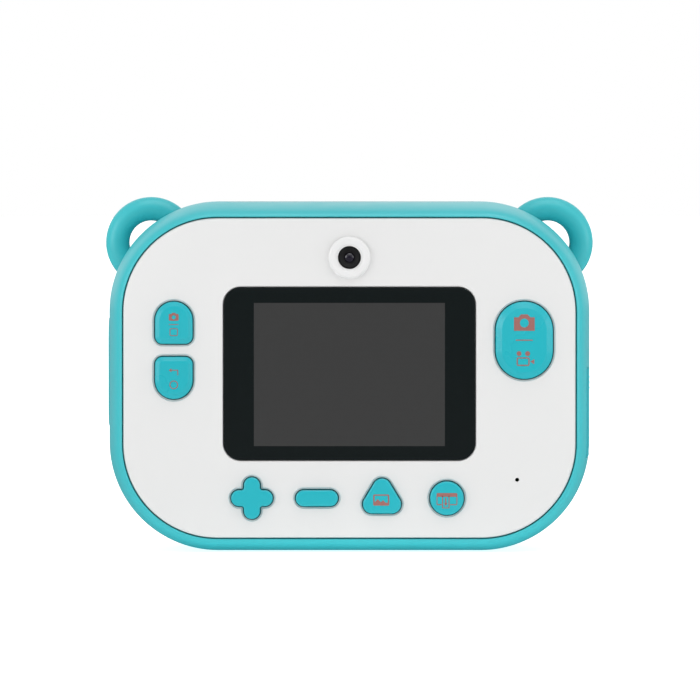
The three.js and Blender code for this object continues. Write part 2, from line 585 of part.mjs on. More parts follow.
const shaftHole = [circle(PLATEN.y, PLATEN.z, PLATEN.shaft + 0.05, 14)];
add("platen_shaft", rodX(PLATEN.y, PLATEN.z, PLATEN.shaft, -34.6, 31.4, 14), "steel");
add(
  "platen_roller",
  slabX(circle(PLATEN.y, PLATEN.z, PLATEN.r, 24), -PLATEN.halfL, PLATEN.halfL, shaftHole),
  "darkRubber",
);
add("platen_gear", slabX(gearOutline(PLATEN.y, PLATEN.z, GEAR.platen, platenTurn), -34, -32.2, shaftHole), "gear");

function reducerGear() {
  const large = slabX(gearOutline(REDUCER.y, REDUCER.z, GEAR.large, largeTurn), -36.3, -34.4);
  const small = slabX(gearOutline(REDUCER.y, REDUCER.z, GEAR.small, smallTurn), -34.6, -31.6);
  return cut(join(large, small), rodX(REDUCER.y, REDUCER.z, 0.95, -38, -30, 12));
}
add("reducer_gear", reducerGear(), "gear");

function motorPinion() {
  const teeth = slabX(gearOutline(PINION.y, PINION.z, GEAR.pinion, pinionTurn), -36.5, -34.2);
  return join(teeth, rodX(PINION.y, PINION.z, 0.75, -39.5, -36.4, 10));
}
add("motor_pinion", motorPinion(), "gear");

function feedMotor() {
  const can = rodX(PINION.y, PINION.z, MOTOR.r, MOTOR.x0, MOTOR.x1, 24);
  const [first, second] = MOTOR_POSTS;
  const lugs = [first, second].map(([y, z]) => rodX(y, z, 2.4, MOTOR.x1 - 0.5, MOTOR.face, 12));
  const arm = new THREE.Vector2(second[0] - first[0], second[1] - first[1]).normalize();
  const side = new THREE.Vector2(-arm.y, arm.x).multiplyScalar(2.4);
  const strap = [
    new THREE.Vector2(...first).add(side),
    new THREE.Vector2(...second).add(side),
    new THREE.Vector2(...second).sub(side),
    new THREE.Vector2(...first).sub(side),
  ];
  const plate = slabX(strap, MOTOR.x1 - 0.5, MOTOR.face);
  return cut(join(can, plate, ...lugs), rodX(PINION.y, PINION.z, 1, -40.5, -36, 12));
}
add("feed_motor", feedMotor(), "steel");

// ---------------------------------------------------------------- main lens and flash

const lensRing = [[LENS.bore, 20.6], [LENS.spigot, 20.6], [LENS.spigot, 24.15], [LENS.r, 24.15], [LENS.r, 27],
  [15.3, FACE_Y + LENS_RING_PROUD], [13, FACE_Y + LENS_RING_PROUD], [LENS.bore, 27]];
add("lens_ring", turnedY(0, LENS.z, lensRing, 36), "teal");
add("lens_cover", turnedY(0, LENS.z, [[0, 25.8], [11.25, 25.8], [11.25, 26.8], [0, 26.8]], 32), "window");
const baffle = [[4.4, 14.5], [5.6, 14.5], [5.6, 20.8], [11.2, 20.8], [11.2, 25.5], [10.2, 25.5], [4.4, 22.2]];
add("lens_baffle", turnedY(0, LENS.z, baffle, 32), "black");
const barrel = [[0, 13.6], [4.1, 13.6], [4.1, 22.8], [3.4, 23.2], [2.6, 22.6], [0, 23]];
add("lens_barrel", turnedY(0, LENS.z, barrel, 24), "black");
add("sensor_board", block(-7, 7, 12.2, 13.4, LENS.z - 7, LENS.z + 7), "board");
const flashLens = [[0, 21.4], [FLASH.r, 21.4], [FLASH.r, 23.9], [FLASH.r - 0.4, 24.2], [0, 24.2]];
add("flash_window", turnedY(FLASH.x, FLASH.z, flashLens, 20), "window");

// ---------------------------------------------------------------- battery, speaker and side openings

add("battery_pack", slabX(roundRect(4, 41.2, 32, 50, 3, 3), 36.6, 46.2), "cell");

function speaker() {
  const rim = rodX(0, GRILLE.z, 10, -58.2, -56.6, 24);
  const magnet = rodX(0, GRILLE.z, 6.5, -57, -53.6, 20);
  return cut(join(rim, magnet), rodX(0, GRILLE.z, 8.4, -59, -57.6, 20));
}
add("speaker", speaker(), "black");

function speakerGrille() {
  const slots = Array.from({ length: GRILLE.slots }, (_, i) => {
    const z = GRILLE.z + (i - (GRILLE.slots - 1) / 2) * GRILLE.pitch;
    const half = GRILLE.slotW / 2 - (Math.abs(i - (GRILLE.slots - 1) / 2) > 5 ? 1.8 : 0);
    return rectangle(-half, half, z - GRILLE.slotH / 2, z + GRILLE.slotH / 2);
  });
  return slabX(grilleOutline(0), -BODY.w / 2 - GRILLE.proud, -BODY.w / 2 + WALL, slots);
}
add("speaker_grille", speakerGrille(), "teal");

function portCover() {
  const [x0, x1] = [BODY.w / 2 - 0.35 - PORT.t, BODY.w / 2 - 0.35];
  const half = PORT.t / 2;
  const axis = { x: (x0 + x1) / 2, z: PORT.z0 + half };
  const side = [
    ...arc(axis.x, axis.z, half, 180, 360, 6),
    ...arc(x1 - 0.4, PORT.z1 - 0.4, 0.4, 0, 90, 2),
    new THREE.Vector2(x0, PORT.z1),
  ];
  return slabY(side, PORT.y0, PORT.y1);
}
add("port_cover", portCover(), "rubber");

export default camera;
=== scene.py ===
# %% [markdown]
# A children's instant-print camera, seen from its screen side. The CAD model gives every piece its place
# and its motion. This lesson remakes what shows of it with smooth outlines, soft edges and real finishes.
#
# Everything is in metres, +Z is up, the screen faces -Y and the main lens faces +Y.

# %% Load the frame
import json
import math

import bmesh
import bpy
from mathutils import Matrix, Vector


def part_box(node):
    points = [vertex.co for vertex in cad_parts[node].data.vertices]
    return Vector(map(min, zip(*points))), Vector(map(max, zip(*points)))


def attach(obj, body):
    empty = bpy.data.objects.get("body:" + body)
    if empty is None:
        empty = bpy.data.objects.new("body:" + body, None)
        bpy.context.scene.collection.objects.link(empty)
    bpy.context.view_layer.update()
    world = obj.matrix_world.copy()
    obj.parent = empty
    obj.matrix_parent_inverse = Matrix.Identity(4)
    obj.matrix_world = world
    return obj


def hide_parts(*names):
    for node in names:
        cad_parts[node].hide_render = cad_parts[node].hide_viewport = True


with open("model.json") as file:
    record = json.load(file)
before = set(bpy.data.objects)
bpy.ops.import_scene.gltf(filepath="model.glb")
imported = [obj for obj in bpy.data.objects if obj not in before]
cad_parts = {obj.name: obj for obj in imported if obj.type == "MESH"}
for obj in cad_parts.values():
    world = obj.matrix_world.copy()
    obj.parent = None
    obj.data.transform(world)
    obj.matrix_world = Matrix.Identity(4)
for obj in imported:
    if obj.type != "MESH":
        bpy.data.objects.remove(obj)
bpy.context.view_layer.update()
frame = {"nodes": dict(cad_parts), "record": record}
MM = 0.001

# %% [markdown]
# An operator acts on whatever is selected, and a new primitive arrives selected all over. So every step
# first clears the selection, then takes only the pieces, edges or faces that it is meant for.

# %% Selecting
def fresh():
    """Leaves edit mode with nothing selected, because an operator acts on all that is selected."""
    if bpy.context.mode != "OBJECT":
        bpy.ops.object.mode_set(mode="OBJECT")
    bpy.ops.object.select_all(action="DESELECT")


def take(*objs):
    """Selects these objects alone. The last is the active one."""
    fresh()
    for obj in objs:
        obj.select_set(True)
    bpy.context.view_layer.objects.active = objs[-1]
    return objs[-1]


def edit(obj):
    """Opens a piece in edit mode, in vertices, with nothing selected."""
    take(obj)
    bpy.ops.object.mode_set(mode="EDIT")
    bpy.ops.mesh.select_mode(type="VERT")
    bpy.ops.mesh.select_all(action="DESELECT")


# %% [markdown]
# Most pieces are drawn as a draughtsman draws them: a pencil point, straight lines, and arcs about a
# centre. In Blender the pencil point is one vertex, a line is an extruded vertex and an arc is a spin. The
# closed outline is then filled and pulled into a solid. That keeps every corner a true arc, which bevelling
# a square doesn't on a three-cornered key.

# %% Drawing an outline
FINE = 4.0  # degrees of arc to one edge
SHORTEST_EDGE = 0.04  # millimetres, so that a tiny corner isn't cut too fine
SHORTEST_MOVE = 0.01


def pencil(name, at):
    """One vertex in edit mode, from a plane whose corners are merged."""
    fresh()
    bpy.ops.mesh.primitive_plane_add(size=MM, location=at)
    obj = bpy.context.object
    obj.name = obj.data.name = name
    bpy.ops.object.transform_apply(location=True, rotation=True, scale=True)
    bpy.ops.object.mode_set(mode="EDIT")
    bpy.ops.mesh.select_mode(type="VERT")
    bpy.ops.mesh.select_all(action="SELECT")
    bpy.ops.mesh.merge(type="CENTER")
    return obj


def pull(x=0.0, y=0.0, z=0.0):
    """Extrudes what is selected, in millimetres."""
    bpy.ops.mesh.extrude_region_move(TRANSFORM_OT_translate={"value": (x * MM, y * MM, z * MM)})


def swing(x, z, degrees, step=FINE):
    """Spins what is selected about a line along Y through (x, z), anticlockwise as seen from the screen side."""
    steps = max(2, round(abs(degrees) / step))
    bpy.ops.mesh.spin(steps=steps, angle=math.radians(degrees), center=(x * MM, 0, z * MM), axis=(0, 1, 0))


def merge_all(distance=0.002):
    bpy.ops.mesh.select_all(action="SELECT")
    bpy.ops.mesh.remove_doubles(threshold=distance * MM)


def outline(name, y, start, moves, step=FINE):
    """A filled outline in X and Z. A move is ("to", x, z) or ("arc", centre x, centre z, degrees)."""
    obj = pencil(name, (start[0] * MM, y * MM, start[1] * MM))
    x, z = start
    for move in moves:
        if move[0] == "to":
            if math.hypot(move[1] - x, move[2] - z) > SHORTEST_MOVE:
                pull(move[1] - x, 0, move[2] - z)
                x, z = move[1:]
        else:
            radius = math.hypot(x - move[1], z - move[2])
            swing(*move[1:], max(step, math.degrees(SHORTEST_EDGE / radius)))
            turn = math.radians(move[3])
            dx, dz = x - move[1], z - move[2]
            x = move[1] + dx * math.cos(turn) - dz * math.sin(turn)
            z = move[2] + dx * math.sin(turn) + dz * math.cos(turn)
    merge_all()
    bpy.ops.mesh.edge_face_add()
    return obj


print("arcs are drawn with", round(360 / FINE), "edges to the full circle")

# %% [markdown]
# A round piece is turned, as on a lathe: half of its section is drawn beside an axis and spun right round.
# Merging the doubles closes the seam where the spin meets itself, and only then are the normals pointed
# outwards. Faces that meet at less than a given angle are shaded as one smooth surface, so a rim stays
# crisp and a curve stays round.

# %% Turning on the lathe
SMOOTH_BELOW = 32  # degrees between two faces


def profile(name, x, z, points):
    """A line through [radius, y] points, to the right of a line along Y through (x, z), all selected."""
    obj = pencil(name, ((x + points[0][0]) * MM, points[0][1] * MM, z * MM))
    for (r0, y0), (r1, y1) in zip(points, points[1:]):
        pull(r1 - r0, y1 - y0)
    bpy.ops.mesh.select_all(action="SELECT")
    return obj


def smooth(obj, degrees=SMOOTH_BELOW):
    """Shades faces as one surface where they meet at less than an angle."""
    take(obj)
    bpy.ops.object.shade_smooth_by_angle(angle=math.radians(degrees))
    return obj


def close_up(obj, degrees=SMOOTH_BELOW):
    """Merges seams, points the faces outwards, and shades round stretches smooth."""
    merge_all()
    bpy.ops.mesh.normals_make_consistent(inside=False)
    return smooth(obj, degrees)


def turned(name, x, z, points, step=FINE):
    """A lathe piece about a line along Y. The points close on themselves or start and end on the axis."""
    obj = profile(name, x, z, points if points[0][0] == 0 else [*points, points[0]])
    swing(x, z, 360, step)
    return close_up(obj)


print("faces that turn by less than", SMOOTH_BELOW, "degrees are shaded smooth")

# %% [markdown]
# A flat piece is its outline pulled to a thickness. Its edge is rounded by stepping: inset the end face a
# little, move it a little, and repeat along a quarter circle. A boolean then cuts holes, joins ribs and
# pins, or keeps only what two drawings have in common. The exact solver is used, because the faces often
# lie in one plane.

# %% Stepping, pulling and cutting
def carve(obj, *tools, how="DIFFERENCE"):
    """Cuts tools out of obj, joins them on (UNION) or keeps what they share (INTERSECT). The tools go."""
    for tool in tools:
        take(obj)
        cutter = obj.modifiers.new("tool", "BOOLEAN")
        cutter.operation = how
        cutter.solver = "EXACT"
        cutter.object = tool
        bpy.ops.object.modifier_apply(modifier=cutter.name)
        bpy.data.objects.remove(tool)
    return take(obj)


def step_out(steps, facing=-1):
    """Insets the selected face by each step's inset and moves it along Y by its rise, in millimetres."""
    for inset, rise in steps:
        if inset:
            bpy.ops.mesh.inset(thickness=inset * MM, depth=0, use_even_offset=True, use_boundary=True)
            bpy.ops.transform.translate(value=(0, facing * rise * MM, 0))
        else:
            pull(0, facing * rise)


def quarter(radius, count=5):
    """Steps of (inset, rise) round a quarter circle, from a wall to a top face."""
    angles = [math.radians(90 * i / count) for i in range(count + 1)]
    return [
        (radius * (math.cos(a) - math.cos(b)), radius * (math.sin(b) - math.sin(a)))
        for a, b in zip(angles, angles[1:])
    ]


def flare(radius, count=5):
    """Steps of (inset, advance) for a cutter that leaves a hole's rim rounded."""
    return [(inset, rise) for rise, inset in reversed(quarter(radius, count))]


def slab(name, y0, y1, start, moves, round_off=0.0, step=FINE):
    """An outline pulled from y0 to y1, its y1 end rounded off."""
    obj = outline(name, y0, start, moves, step)
    facing = 1 if y1 > y0 else -1
    pull(0, facing * (abs(y1 - y0) - round_off))
    step_out(quarter(round_off) if round_off else [], facing)
    return close_up(obj)


print("a 0.6 mm round edge in steps:", [(round(i, 3), round(r, 3)) for i, r in quarter(0.6)])

# %% [markdown]
# The outlines that repeat over the camera: a rectangle with round corners, an arch, a plus, a triangle and
# a disc. Each takes a growth, so that the key, its hole in the panel and the hole's soft rim all come from
# one drawing.

# %% Outlines
def rounded(cx, cz, w, h, r, grow=0.0):
    """Start and moves of a rectangle with round corners. Its radius grows with it."""
    right, top, c = w / 2 - r, h / 2 - r, r + grow
    start = (cx + right + c, cz - top)
    moves = []
    for sx, sz, dx, dz in ((1, 1, c, 0), (-1, 1, 0, c), (-1, -1, -c, 0), (1, -1, 0, -c)):
        corner = (cx + sx * right, cz + sz * top)
        moves.append(("to", corner[0] + dx, corner[1] + dz))
        moves.append(("arc", *corner, 90))
    return start, moves


def arch(cx, cz, w, h, corner, up, grow=0.0):
    """A square key with one end a half circle. up is 1 where the round end is the upper one."""
    half, c = w / 2, corner + grow
    inner, base = half - corner, -h / 2 + corner
    at = lambda x, z: (cx + up * x, cz + up * z)
    start = at(half + grow, base)
    moves = [
        ("to", *at(half + grow, h / 2 - half)),
        ("arc", *at(0, h / 2 - half), 180),
        ("to", *at(-half - grow, base)),
        ("arc", *at(-inner, base), 90),
        ("to", *at(inner, base - c)),
        ("arc", *at(inner, base), 90),
    ]
    return start, moves


def plus(cx, cz, width, arm, corner, grow=0.0):
    """Four arms with round ends, and a fillet of radius corner where two arms meet."""
    half, tip, fillet = arm / 2 + grow, (width - arm) / 2, arm / 2 + corner
    moves = []
    for turn in range(4):
        c, s = math.cos(math.radians(90 * turn)), math.sin(math.radians(90 * turn))
        first_arm = ((tip, -half), (tip, 0), (fillet, half), (fillet, fillet))
        start, end, inner, corner_middle = [(cx + x * c - z * s, cz + x * s + z * c) for x, z in first_arm]
        moves += [("to", *start), ("arc", *end, 180), ("to", *inner), ("arc", *corner_middle, -90)]
    return moves[0][1:], moves[1:]


def triangle(cx, cz, w, h, corner, grow=0.0):
    """Three equal arcs about the corners of a triangle, apex up."""
    dx, low, high, c = w / 2 - corner, -h / 2 + corner, h / 2 - corner, corner + grow
    centres = [(cx + dx, cz + low), (cx, cz + high), (cx - dx, cz + low)]
    start = (centres[0][0], centres[0][1] - c)
    moves = []
    for i, (px, pz) in enumerate(centres):
        angle = math.radians(-90 + 120 * i)
        if i:
            moves.append(("to", px + c * math.cos(angle), pz + c * math.sin(angle)))
        moves.append(("arc", px, pz, 120))
    return start, moves


def disc(cx, cz, r, grow=0.0):
    return (cx + r + grow, cz), [("arc", cx, cz, 360)]


for drawing in (rounded(0, 0, 4, 4, 1), arch(0, 0, 4, 4, 1, 1), plus(0, 0, 4, 1, 1), triangle(0, 0, 4, 4, 1)):
    print("an outline of", len(drawing[1]), "moves from", drawing[0])

# %% [markdown]
# The frame gives the places. Every face, key and loop below is read from the CAD node that it stands for,
# and only a shape's own character, such as a corner radius, is stated here.

# %% Places read from the frame
def span(node):
    """Low corner, high corner and middle of a CAD node, in millimetres."""
    low, high = (Vector(v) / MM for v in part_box(node))
    return low, high, (low + high) / 2


PANEL_LOW, PANEL_HIGH, PANEL_MID = span("rear_panel")
REAR_FACE = PANEL_LOW.y
FRONT_FACE = span("front_panel")[1].y
CASE_LOW, CASE_HIGH, _ = span("rear_shell")
MIDDLE_Y = (REAR_FACE + FRONT_FACE) / 2
CASE_W, CASE_H = CASE_HIGH.x - CASE_LOW.x, CASE_HIGH.z - CASE_LOW.z
CASE_TOP = CASE_H  # the case stands on the floor
CASE_Z = CASE_H / 2
CASE_R = 28.0  # corner radius of the case, seen from behind
FACE_Y = (FRONT_FACE - REAR_FACE) / 2
FLAT_HALF = 8.0  # half the band's flat middle, from which it crowns over
RIM_INSET = 3.6  # how far the band closes in by the time it meets the panels
WALL = 2.2
CLEAR = 0.3  # gap between a panel and the rim round it
PANEL_T = 2.0
print("faces at", round(REAR_FACE, 2), round(FRONT_FACE, 2), "case", round(CASE_W, 2), "x", round(CASE_H, 2))

# %% [markdown]
# ## Finishes
# A finish is a tree of shader nodes. The same few nodes come up in every tree: a noise, a ramp from one
# range of numbers to another, a sum, and a mix of two colours. Each gets a short function that adds the
# node, sets it, links what feeds it and hands back its output, so that a finish reads like a sentence.

# %% Node helpers
def add_socket(group, name, direction, kind="NodeSocketFloat", value=None):
    made = group.interface.new_socket(name=name, in_out=direction, socket_type=kind)
    if value is not None:
        made.default_value = value


def group_nodes(group):
    inside, outside = group.nodes.new("NodeGroupInput"), group.nodes.new("NodeGroupOutput")
    return inside, outside


def noise(tree, vector, scale, detail=3.0, roughness=0.55):
    node = tree.nodes.new("ShaderNodeTexNoise")
    node.inputs["Scale"].default_value = scale
    node.inputs["Detail"].default_value = detail
    node.inputs["Roughness"].default_value = roughness
    tree.links.new(vector, node.inputs["Vector"])
    return node.outputs["Fac"]


def ramp(tree, value, low, high, to_low=0.0, to_high=1.0):
    node = tree.nodes.new("ShaderNodeMapRange")
    for name, number in (("From Min", low), ("From Max", high), ("To Min", to_low), ("To Max", to_high)):
        node.inputs[name].default_value = number
    tree.links.new(value, node.inputs["Value"])
    return node.outputs["Result"]


def math_node(tree, operation, first, second):
    node = tree.nodes.new("ShaderNodeMath")
    node.operation = operation
    for put, value in zip(node.inputs, (first, second)):
        if isinstance(value, (int, float)):
            put.default_value = value
        else:
            tree.links.new(value, put)
    return node.outputs["Value"]


def mix_colour(tree, factor, first, second):
    node = tree.nodes.new("ShaderNodeMix")
    node.data_type = "RGBA"
    sockets = [s for s in node.inputs if s.enabled]
    for put, value in zip(sockets, (factor, first, second)):
        if isinstance(value, (int, float)):
            put.default_value = value
        elif isinstance(value, tuple):
            put.default_value = (*value, 1.0)
        else:
            tree.links.new(value, put)
    return next(s for s in node.outputs if s.enabled)


def bump(tree, node, height, distance):
    made = tree.nodes.new("ShaderNodeBump")
    made.inputs["Distance"].default_value = distance
    tree.links.new(height, made.inputs["Height"])
    tree.links.new(made.outputs["Normal"], node.inputs["Normal"])


def shader(name, rough=0.4, metallic=0.0, **constant):
    """A material, its tree, Principled node and object coordinates. constant sets the shader's own sockets."""
    material = bpy.data.materials.new(name)
    material.use_nodes = True
    tree = material.node_tree
    node = tree.nodes["Principled BSDF"]
    node.inputs["Roughness"].default_value = rough
    node.inputs["Metallic"].default_value = metallic
    for key, value in constant.items():
        node.inputs[key.replace("_", " ")].default_value = value
    coordinates = tree.nodes.new("ShaderNodeTexCoord").outputs["Object"]
    return material, tree, node, coordinates


print("materials before the finishes:", len(bpy.data.materials))

# %% [markdown]
# The case, keys and panels are moulded plastic. A real moulding isn't one flat colour: the tool's surface
# leaves a fine satin grain, handling polishes it unevenly, and the pigment drifts a little over the piece.
# One node group makes those three effects from the object's own coordinates, and each plastic uses it with
# its own strengths.

# %% Moulded surface group
GRAIN_SIZE = 2600.0  # the grain noise's scale, per metre


def moulded_group():
    """Puts out a grain height, a polish mask and a pigment mask for moulded plastic."""
    group = bpy.data.node_groups.new("moulded surface", "ShaderNodeTree")
    add_socket(group, "Vector", "INPUT", "NodeSocketVector")
    add_socket(group, "Grain size", "INPUT", value=GRAIN_SIZE)
    for name in ("Grain", "Polish", "Pigment"):
        add_socket(group, name, "OUTPUT")
    inside, outside = group_nodes(group)
    vector = inside.outputs["Vector"]
    grain = group.nodes.new("ShaderNodeTexNoise")
    grain.inputs["Detail"].default_value = 2.0
    group.links.new(vector, grain.inputs["Vector"])
    group.links.new(inside.outputs["Grain size"], grain.inputs["Scale"])
    group.links.new(grain.outputs["Fac"], outside.inputs["Grain"])
    group.links.new(ramp(group, noise(group, vector, 45, 4), 0.3, 0.7), outside.inputs["Polish"])
    group.links.new(ramp(group, noise(group, vector, 14, 2), 0.3, 0.7), outside.inputs["Pigment"])
    return group


MOULDED = moulded_group()
print(MOULDED.name, "has sockets", [item.name for item in MOULDED.interface.items_tree])

# %% [markdown]
# Each plastic is now one call. The turquoise case is satin, the keys are glossier and a little deeper in
# colour, and the white of the panels stays below pure white, as paint and plastic do. The dark lens barrel
# and the printer's rubber and foam use the same function with more grain.

# %% The plastics
POLISH = 0.06  # how far handling changes the roughness either way


def plastic(name, colour, rough=0.42, grain=0.00001, grain_size=GRAIN_SIZE, drift=0.035, **constant):
    """Satin moulded plastic. grain is the height of the tool's texture, in metres."""
    material, tree, node, coordinates = shader(name, rough, **constant)
    surface = tree.nodes.new("ShaderNodeGroup")
    surface.node_tree = MOULDED
    surface.inputs["Grain size"].default_value = grain_size
    tree.links.new(coordinates, surface.inputs["Vector"])
    darker = tuple(c * (1 - drift) for c in colour)
    lighter = tuple(min(1.0, c * (1 + drift)) for c in colour)
    tree.links.new(mix_colour(tree, surface.outputs["Pigment"], darker, lighter), node.inputs["Base Color"])
    worn = ramp(tree, surface.outputs["Polish"], 0, 1, rough - POLISH, rough + POLISH)
    tree.links.new(worn, node.inputs["Roughness"])
    bump(tree, node, surface.outputs["Grain"], grain)
    return material


TEAL_CASE = plastic("turquoise case", (0.042, 0.505, 0.555), 0.38)
TEAL_KEY = plastic("turquoise keys", (0.012, 0.45, 0.525), 0.3, grain=0.000005)
WHITE_CASE = plastic("white panel", (0.765, 0.765, 0.762), 0.42, drift=0.012)
WHITE_TRIM = plastic("white trim", (0.79, 0.79, 0.79), 0.34, drift=0.01, grain=0.000006)
DARK_PLASTIC = plastic("black plastic", (0.012, 0.013, 0.014), 0.42, drift=0.1)
LENS_BLACK = plastic("blackened lens barrel", (0.006, 0.006, 0.007), 0.5, drift=0.1)
IVORY = plastic("natural plastic", (0.66, 0.63, 0.55), 0.5, drift=0.03)
ACETAL = plastic("acetal gears", (0.78, 0.76, 0.7), 0.35, drift=0.02)
RUBBER = plastic("turquoise rubber", (0.062, 0.5, 0.565), 0.62, grain=0.00002, grain_size=1800.0)
PLATEN = plastic("platen rubber", (0.03, 0.031, 0.034), 0.75, grain=0.00002)
FOAM = plastic("black foam", (0.02, 0.02, 0.02), 0.95, grain=0.0001, grain_size=1500.0, drift=0.2)
INK = plastic("printed rust ink", (0.34, 0.135, 0.12), 0.5, grain=0.000002, drift=0.08)
print("plastics:", ", ".join(material.name for material in bpy.data.materials if material.name != "Material"))

# %% [markdown]
# ## The case halves
# The turquoise band is two deep rims that meet at a parting line. Their outside crowns over towards each
# face in a quarter ellipse, so the band catches light along its shoulder. The section is drawn once, then
# swept: spun round each corner and pulled along each side, which keeps it true all the way round.

# %% Sweep round the case
def crown(distance):
    """How far the case has closed in at a distance from the parting plane."""
    t = min(1.0, max(0.0, (distance - FLAT_HALF) / (FACE_Y - FLAT_HALF)))
    return RIM_INSET * (1 - math.sqrt(1 - t * t))


def sweep(name, section, step=3.0):
    """Sweeps a closed section of [inset, y] round the case's outline."""
    dx, dz = CASE_W / 2 - CASE_R, CASE_H / 2 - CASE_R
    points = [(CASE_R - inset, MIDDLE_Y + y) for inset, y in [*section, section[0]]]
    obj = profile(name, dx, CASE_Z + dz, points)
    sides = ((1, 1, -2 * dx, 0), (-1, 1, 0, -2 * dz), (-1, -1, 2 * dx, 0), (1, -1, 0, 2 * dz))
    for sx, sz, across, up in sides:
        swing(sx * dx, CASE_Z + sz * dz, 90, step)
        pull(across, 0, up)
    return close_up(obj, 40)


for distance in (8, 16, 20, 24):
    print("the band closes in by", round(crown(distance), 2), "mm at", distance, "mm from the parting line")

# %% [markdown]
# Each half's section goes round once: the parting face, the crowned outside, the rim, the ledge that the
# panel rests on, and the inner wall. The rear half ends in a lip that reaches past the parting line, inside
# the front half, as such cases have to keep light out and the halves in line.

# %% Model the case halves
RIM_SOFT = 0.25
LEDGE_W, LEDGE_T = 2.5, 1.5
BEND = 16  # distance from the parting line at which the inner wall turns
PARTING_SOFT, PARTING_GAP = 0.22, 0.1


def case_section(side, parting):
    """A case half's section: parting face, crowned outside, rim with soft edges, ledge and inner wall."""
    distances = [FACE_Y - (FACE_Y - FLAT_HALF) * (1 - math.sin(math.radians(a))) for a in range(0, 88, 6)]
    outside = [(crown(d), side * d) for d in distances]
    rim = [(RIM_INSET - RIM_SOFT, side * (FACE_Y - 0.01))]
    for a in (0.5, 1.0, 1.5):
        rim.append((RIM_INSET - RIM_SOFT * (1 - math.sin(a)), side * (FACE_Y - RIM_SOFT * (1 - math.cos(a)))))
    ledge = FACE_Y - PANEL_T - 0.2
    inside = [
        (RIM_INSET, side * ledge),
        (RIM_INSET + LEDGE_W, side * ledge),
        (RIM_INSET + LEDGE_W, side * (ledge - LEDGE_T)),
        (crown(ledge - LEDGE_T) + WALL, side * (ledge - LEDGE_T)),
        (crown(BEND) + WALL, side * BEND),
        (WALL, side * FLAT_HALF),
    ]
    return [*parting, *outside, *rim, *inside]


def soft_parting(side):
    """The parting face, from its inner end to its rounded outer corner."""
    y, r = side * PARTING_GAP, PARTING_SOFT
    return [(WALL, y), (r, y), (0.3 * r, y + side * 0.3 * r), (0.0, y + side * r)]


LIP = [(WALL, -4.2), (3.4, -3.0), (3.4, 1.8), (3.2, 2.0), (2.65, 2.0), (2.45, 1.8), (2.45, -PARTING_GAP)]
rear_shell = sweep("rear_case", case_section(-1, [*LIP, *soft_parting(-1)]))
front_shell = sweep("front_case", case_section(1, soft_parting(1)))
print("case halves", len(rear_shell.data.polygons), len(front_shell.data.polygons), "faces")

# %% [markdown]
# ## Openings in the case
# The strap loops come out of the parting line, the paper out of the top, the sound out of the left side,
# and the sockets hide behind a cover on the right. Each opening is cut with a tool a little larger than the
# piece that fills it, which leaves the fine dark line that real mouldings have between them.

# %% Cut the openings
LOOP = span("strap_loop_left")
LOOP_R = (LOOP[1].x - LOOP[0].x) / 2
LOOP_TUBE = 3.06  # radius of the loop's own thickness
LOOP_RING = LOOP_R - LOOP_TUBE
LOOP_GAP, OPENING_GAP = 0.12, 0.2
GRILLE = span("speaker_grille")
EXIT = span("paper_exit")
EXIT_FLANGE, EXIT_R, EXIT_POCKET = 1.2, 3, 7
PORT = span("port_cover")
SIDE_REACH, PORT_REACH, PAST = 5, 6, 2  # how deep the cutters go into the sides, and how far they stand out


def ring_of(name, side, grow=0.0):
    """A strap loop's whole ring."""
    fresh()
    middle = span("strap_loop_left" if side < 0 else "strap_loop_right")[2]
    bpy.ops.mesh.primitive_torus_add(
        major_radius=LOOP_RING * MM,
        minor_radius=(LOOP_TUBE + grow) * MM,
        major_segments=72,
        minor_segments=28,
        location=Vector((middle.x, MIDDLE_Y, middle.z)) * MM,
        rotation=(math.pi / 2, 0, 0),
    )
    obj = bpy.context.object
    obj.name = obj.data.name = name
    bpy.ops.object.transform_apply(location=True, rotation=True, scale=True)
    return obj


def box_tool(low, high, name="tool"):
    """A plain box to cut with or to build on, in millimetres."""
    fresh()
    middle = [(a + b) / 2 * MM for a, b in zip(low, high)]
    sides = [abs(b - a) * MM for a, b in zip(low, high)]
    bpy.ops.mesh.primitive_cube_add(size=1, location=middle, scale=sides)
    obj = bpy.context.object
    obj.name = obj.data.name = name
    bpy.ops.object.transform_apply(location=True, rotation=True, scale=True)
    return obj


def stand_up(obj, axis):
    """Turns a piece drawn in X and Z so that its outline lies in Y and Z (axis X) or in X and Y (axis Z)."""
    edit(obj)
    mesh = bmesh.from_edit_mesh(obj.data)
    for v in mesh.verts:
        x, y, z = v.co
        v.co = (y, x, z) if axis == "X" else (x, z, y)
    bmesh.ops.reverse_faces(mesh, faces=mesh.faces)
    bmesh.update_edit_mesh(obj.data)
    return take(obj)


def flat_tool(axis, low, high, start, moves, step=8.0, round_off=0.0):
    """A slab along X or Z, from an outline in Y and Z (axis X) or in X and Y (axis Z)."""
    return stand_up(slab("tool", low, high, start, moves, round_off, step), axis)


grille_w, grille_h = GRILLE[1].y - GRILLE[0].y, GRILLE[1].z - GRILLE[0].z
exit_w, exit_d = EXIT[1].x - EXIT[0].x - 2 * EXIT_FLANGE, EXIT[1].y - EXIT[0].y - 2 * EXIT_FLANGE
for shell in (rear_shell, front_shell):
    tools = [ring_of("tool", side, LOOP_GAP) for side in (-1, 1)]
    tools.append(flat_tool("X", CASE_LOW.x - PAST, CASE_LOW.x + SIDE_REACH, *rounded(
        GRILLE[2].y, GRILLE[2].z, grille_w, grille_h, grille_w / 2 - 0.01, OPENING_GAP)))
    tools.append(flat_tool("Z", CASE_TOP - WALL, CASE_TOP + PAST, *rounded(
        0, EXIT[2].y, exit_w, exit_d, EXIT_R, OPENING_GAP)))
    tools.append(flat_tool("Z", CASE_TOP - EXIT_POCKET, CASE_TOP - WALL + 0.02, *rounded(
        0, EXIT[2].y, exit_w, exit_d, EXIT_R, EXIT_FLANGE + CLEAR)))
    carve(shell, *tools)
port_gap = Vector((0, OPENING_GAP, OPENING_GAP))
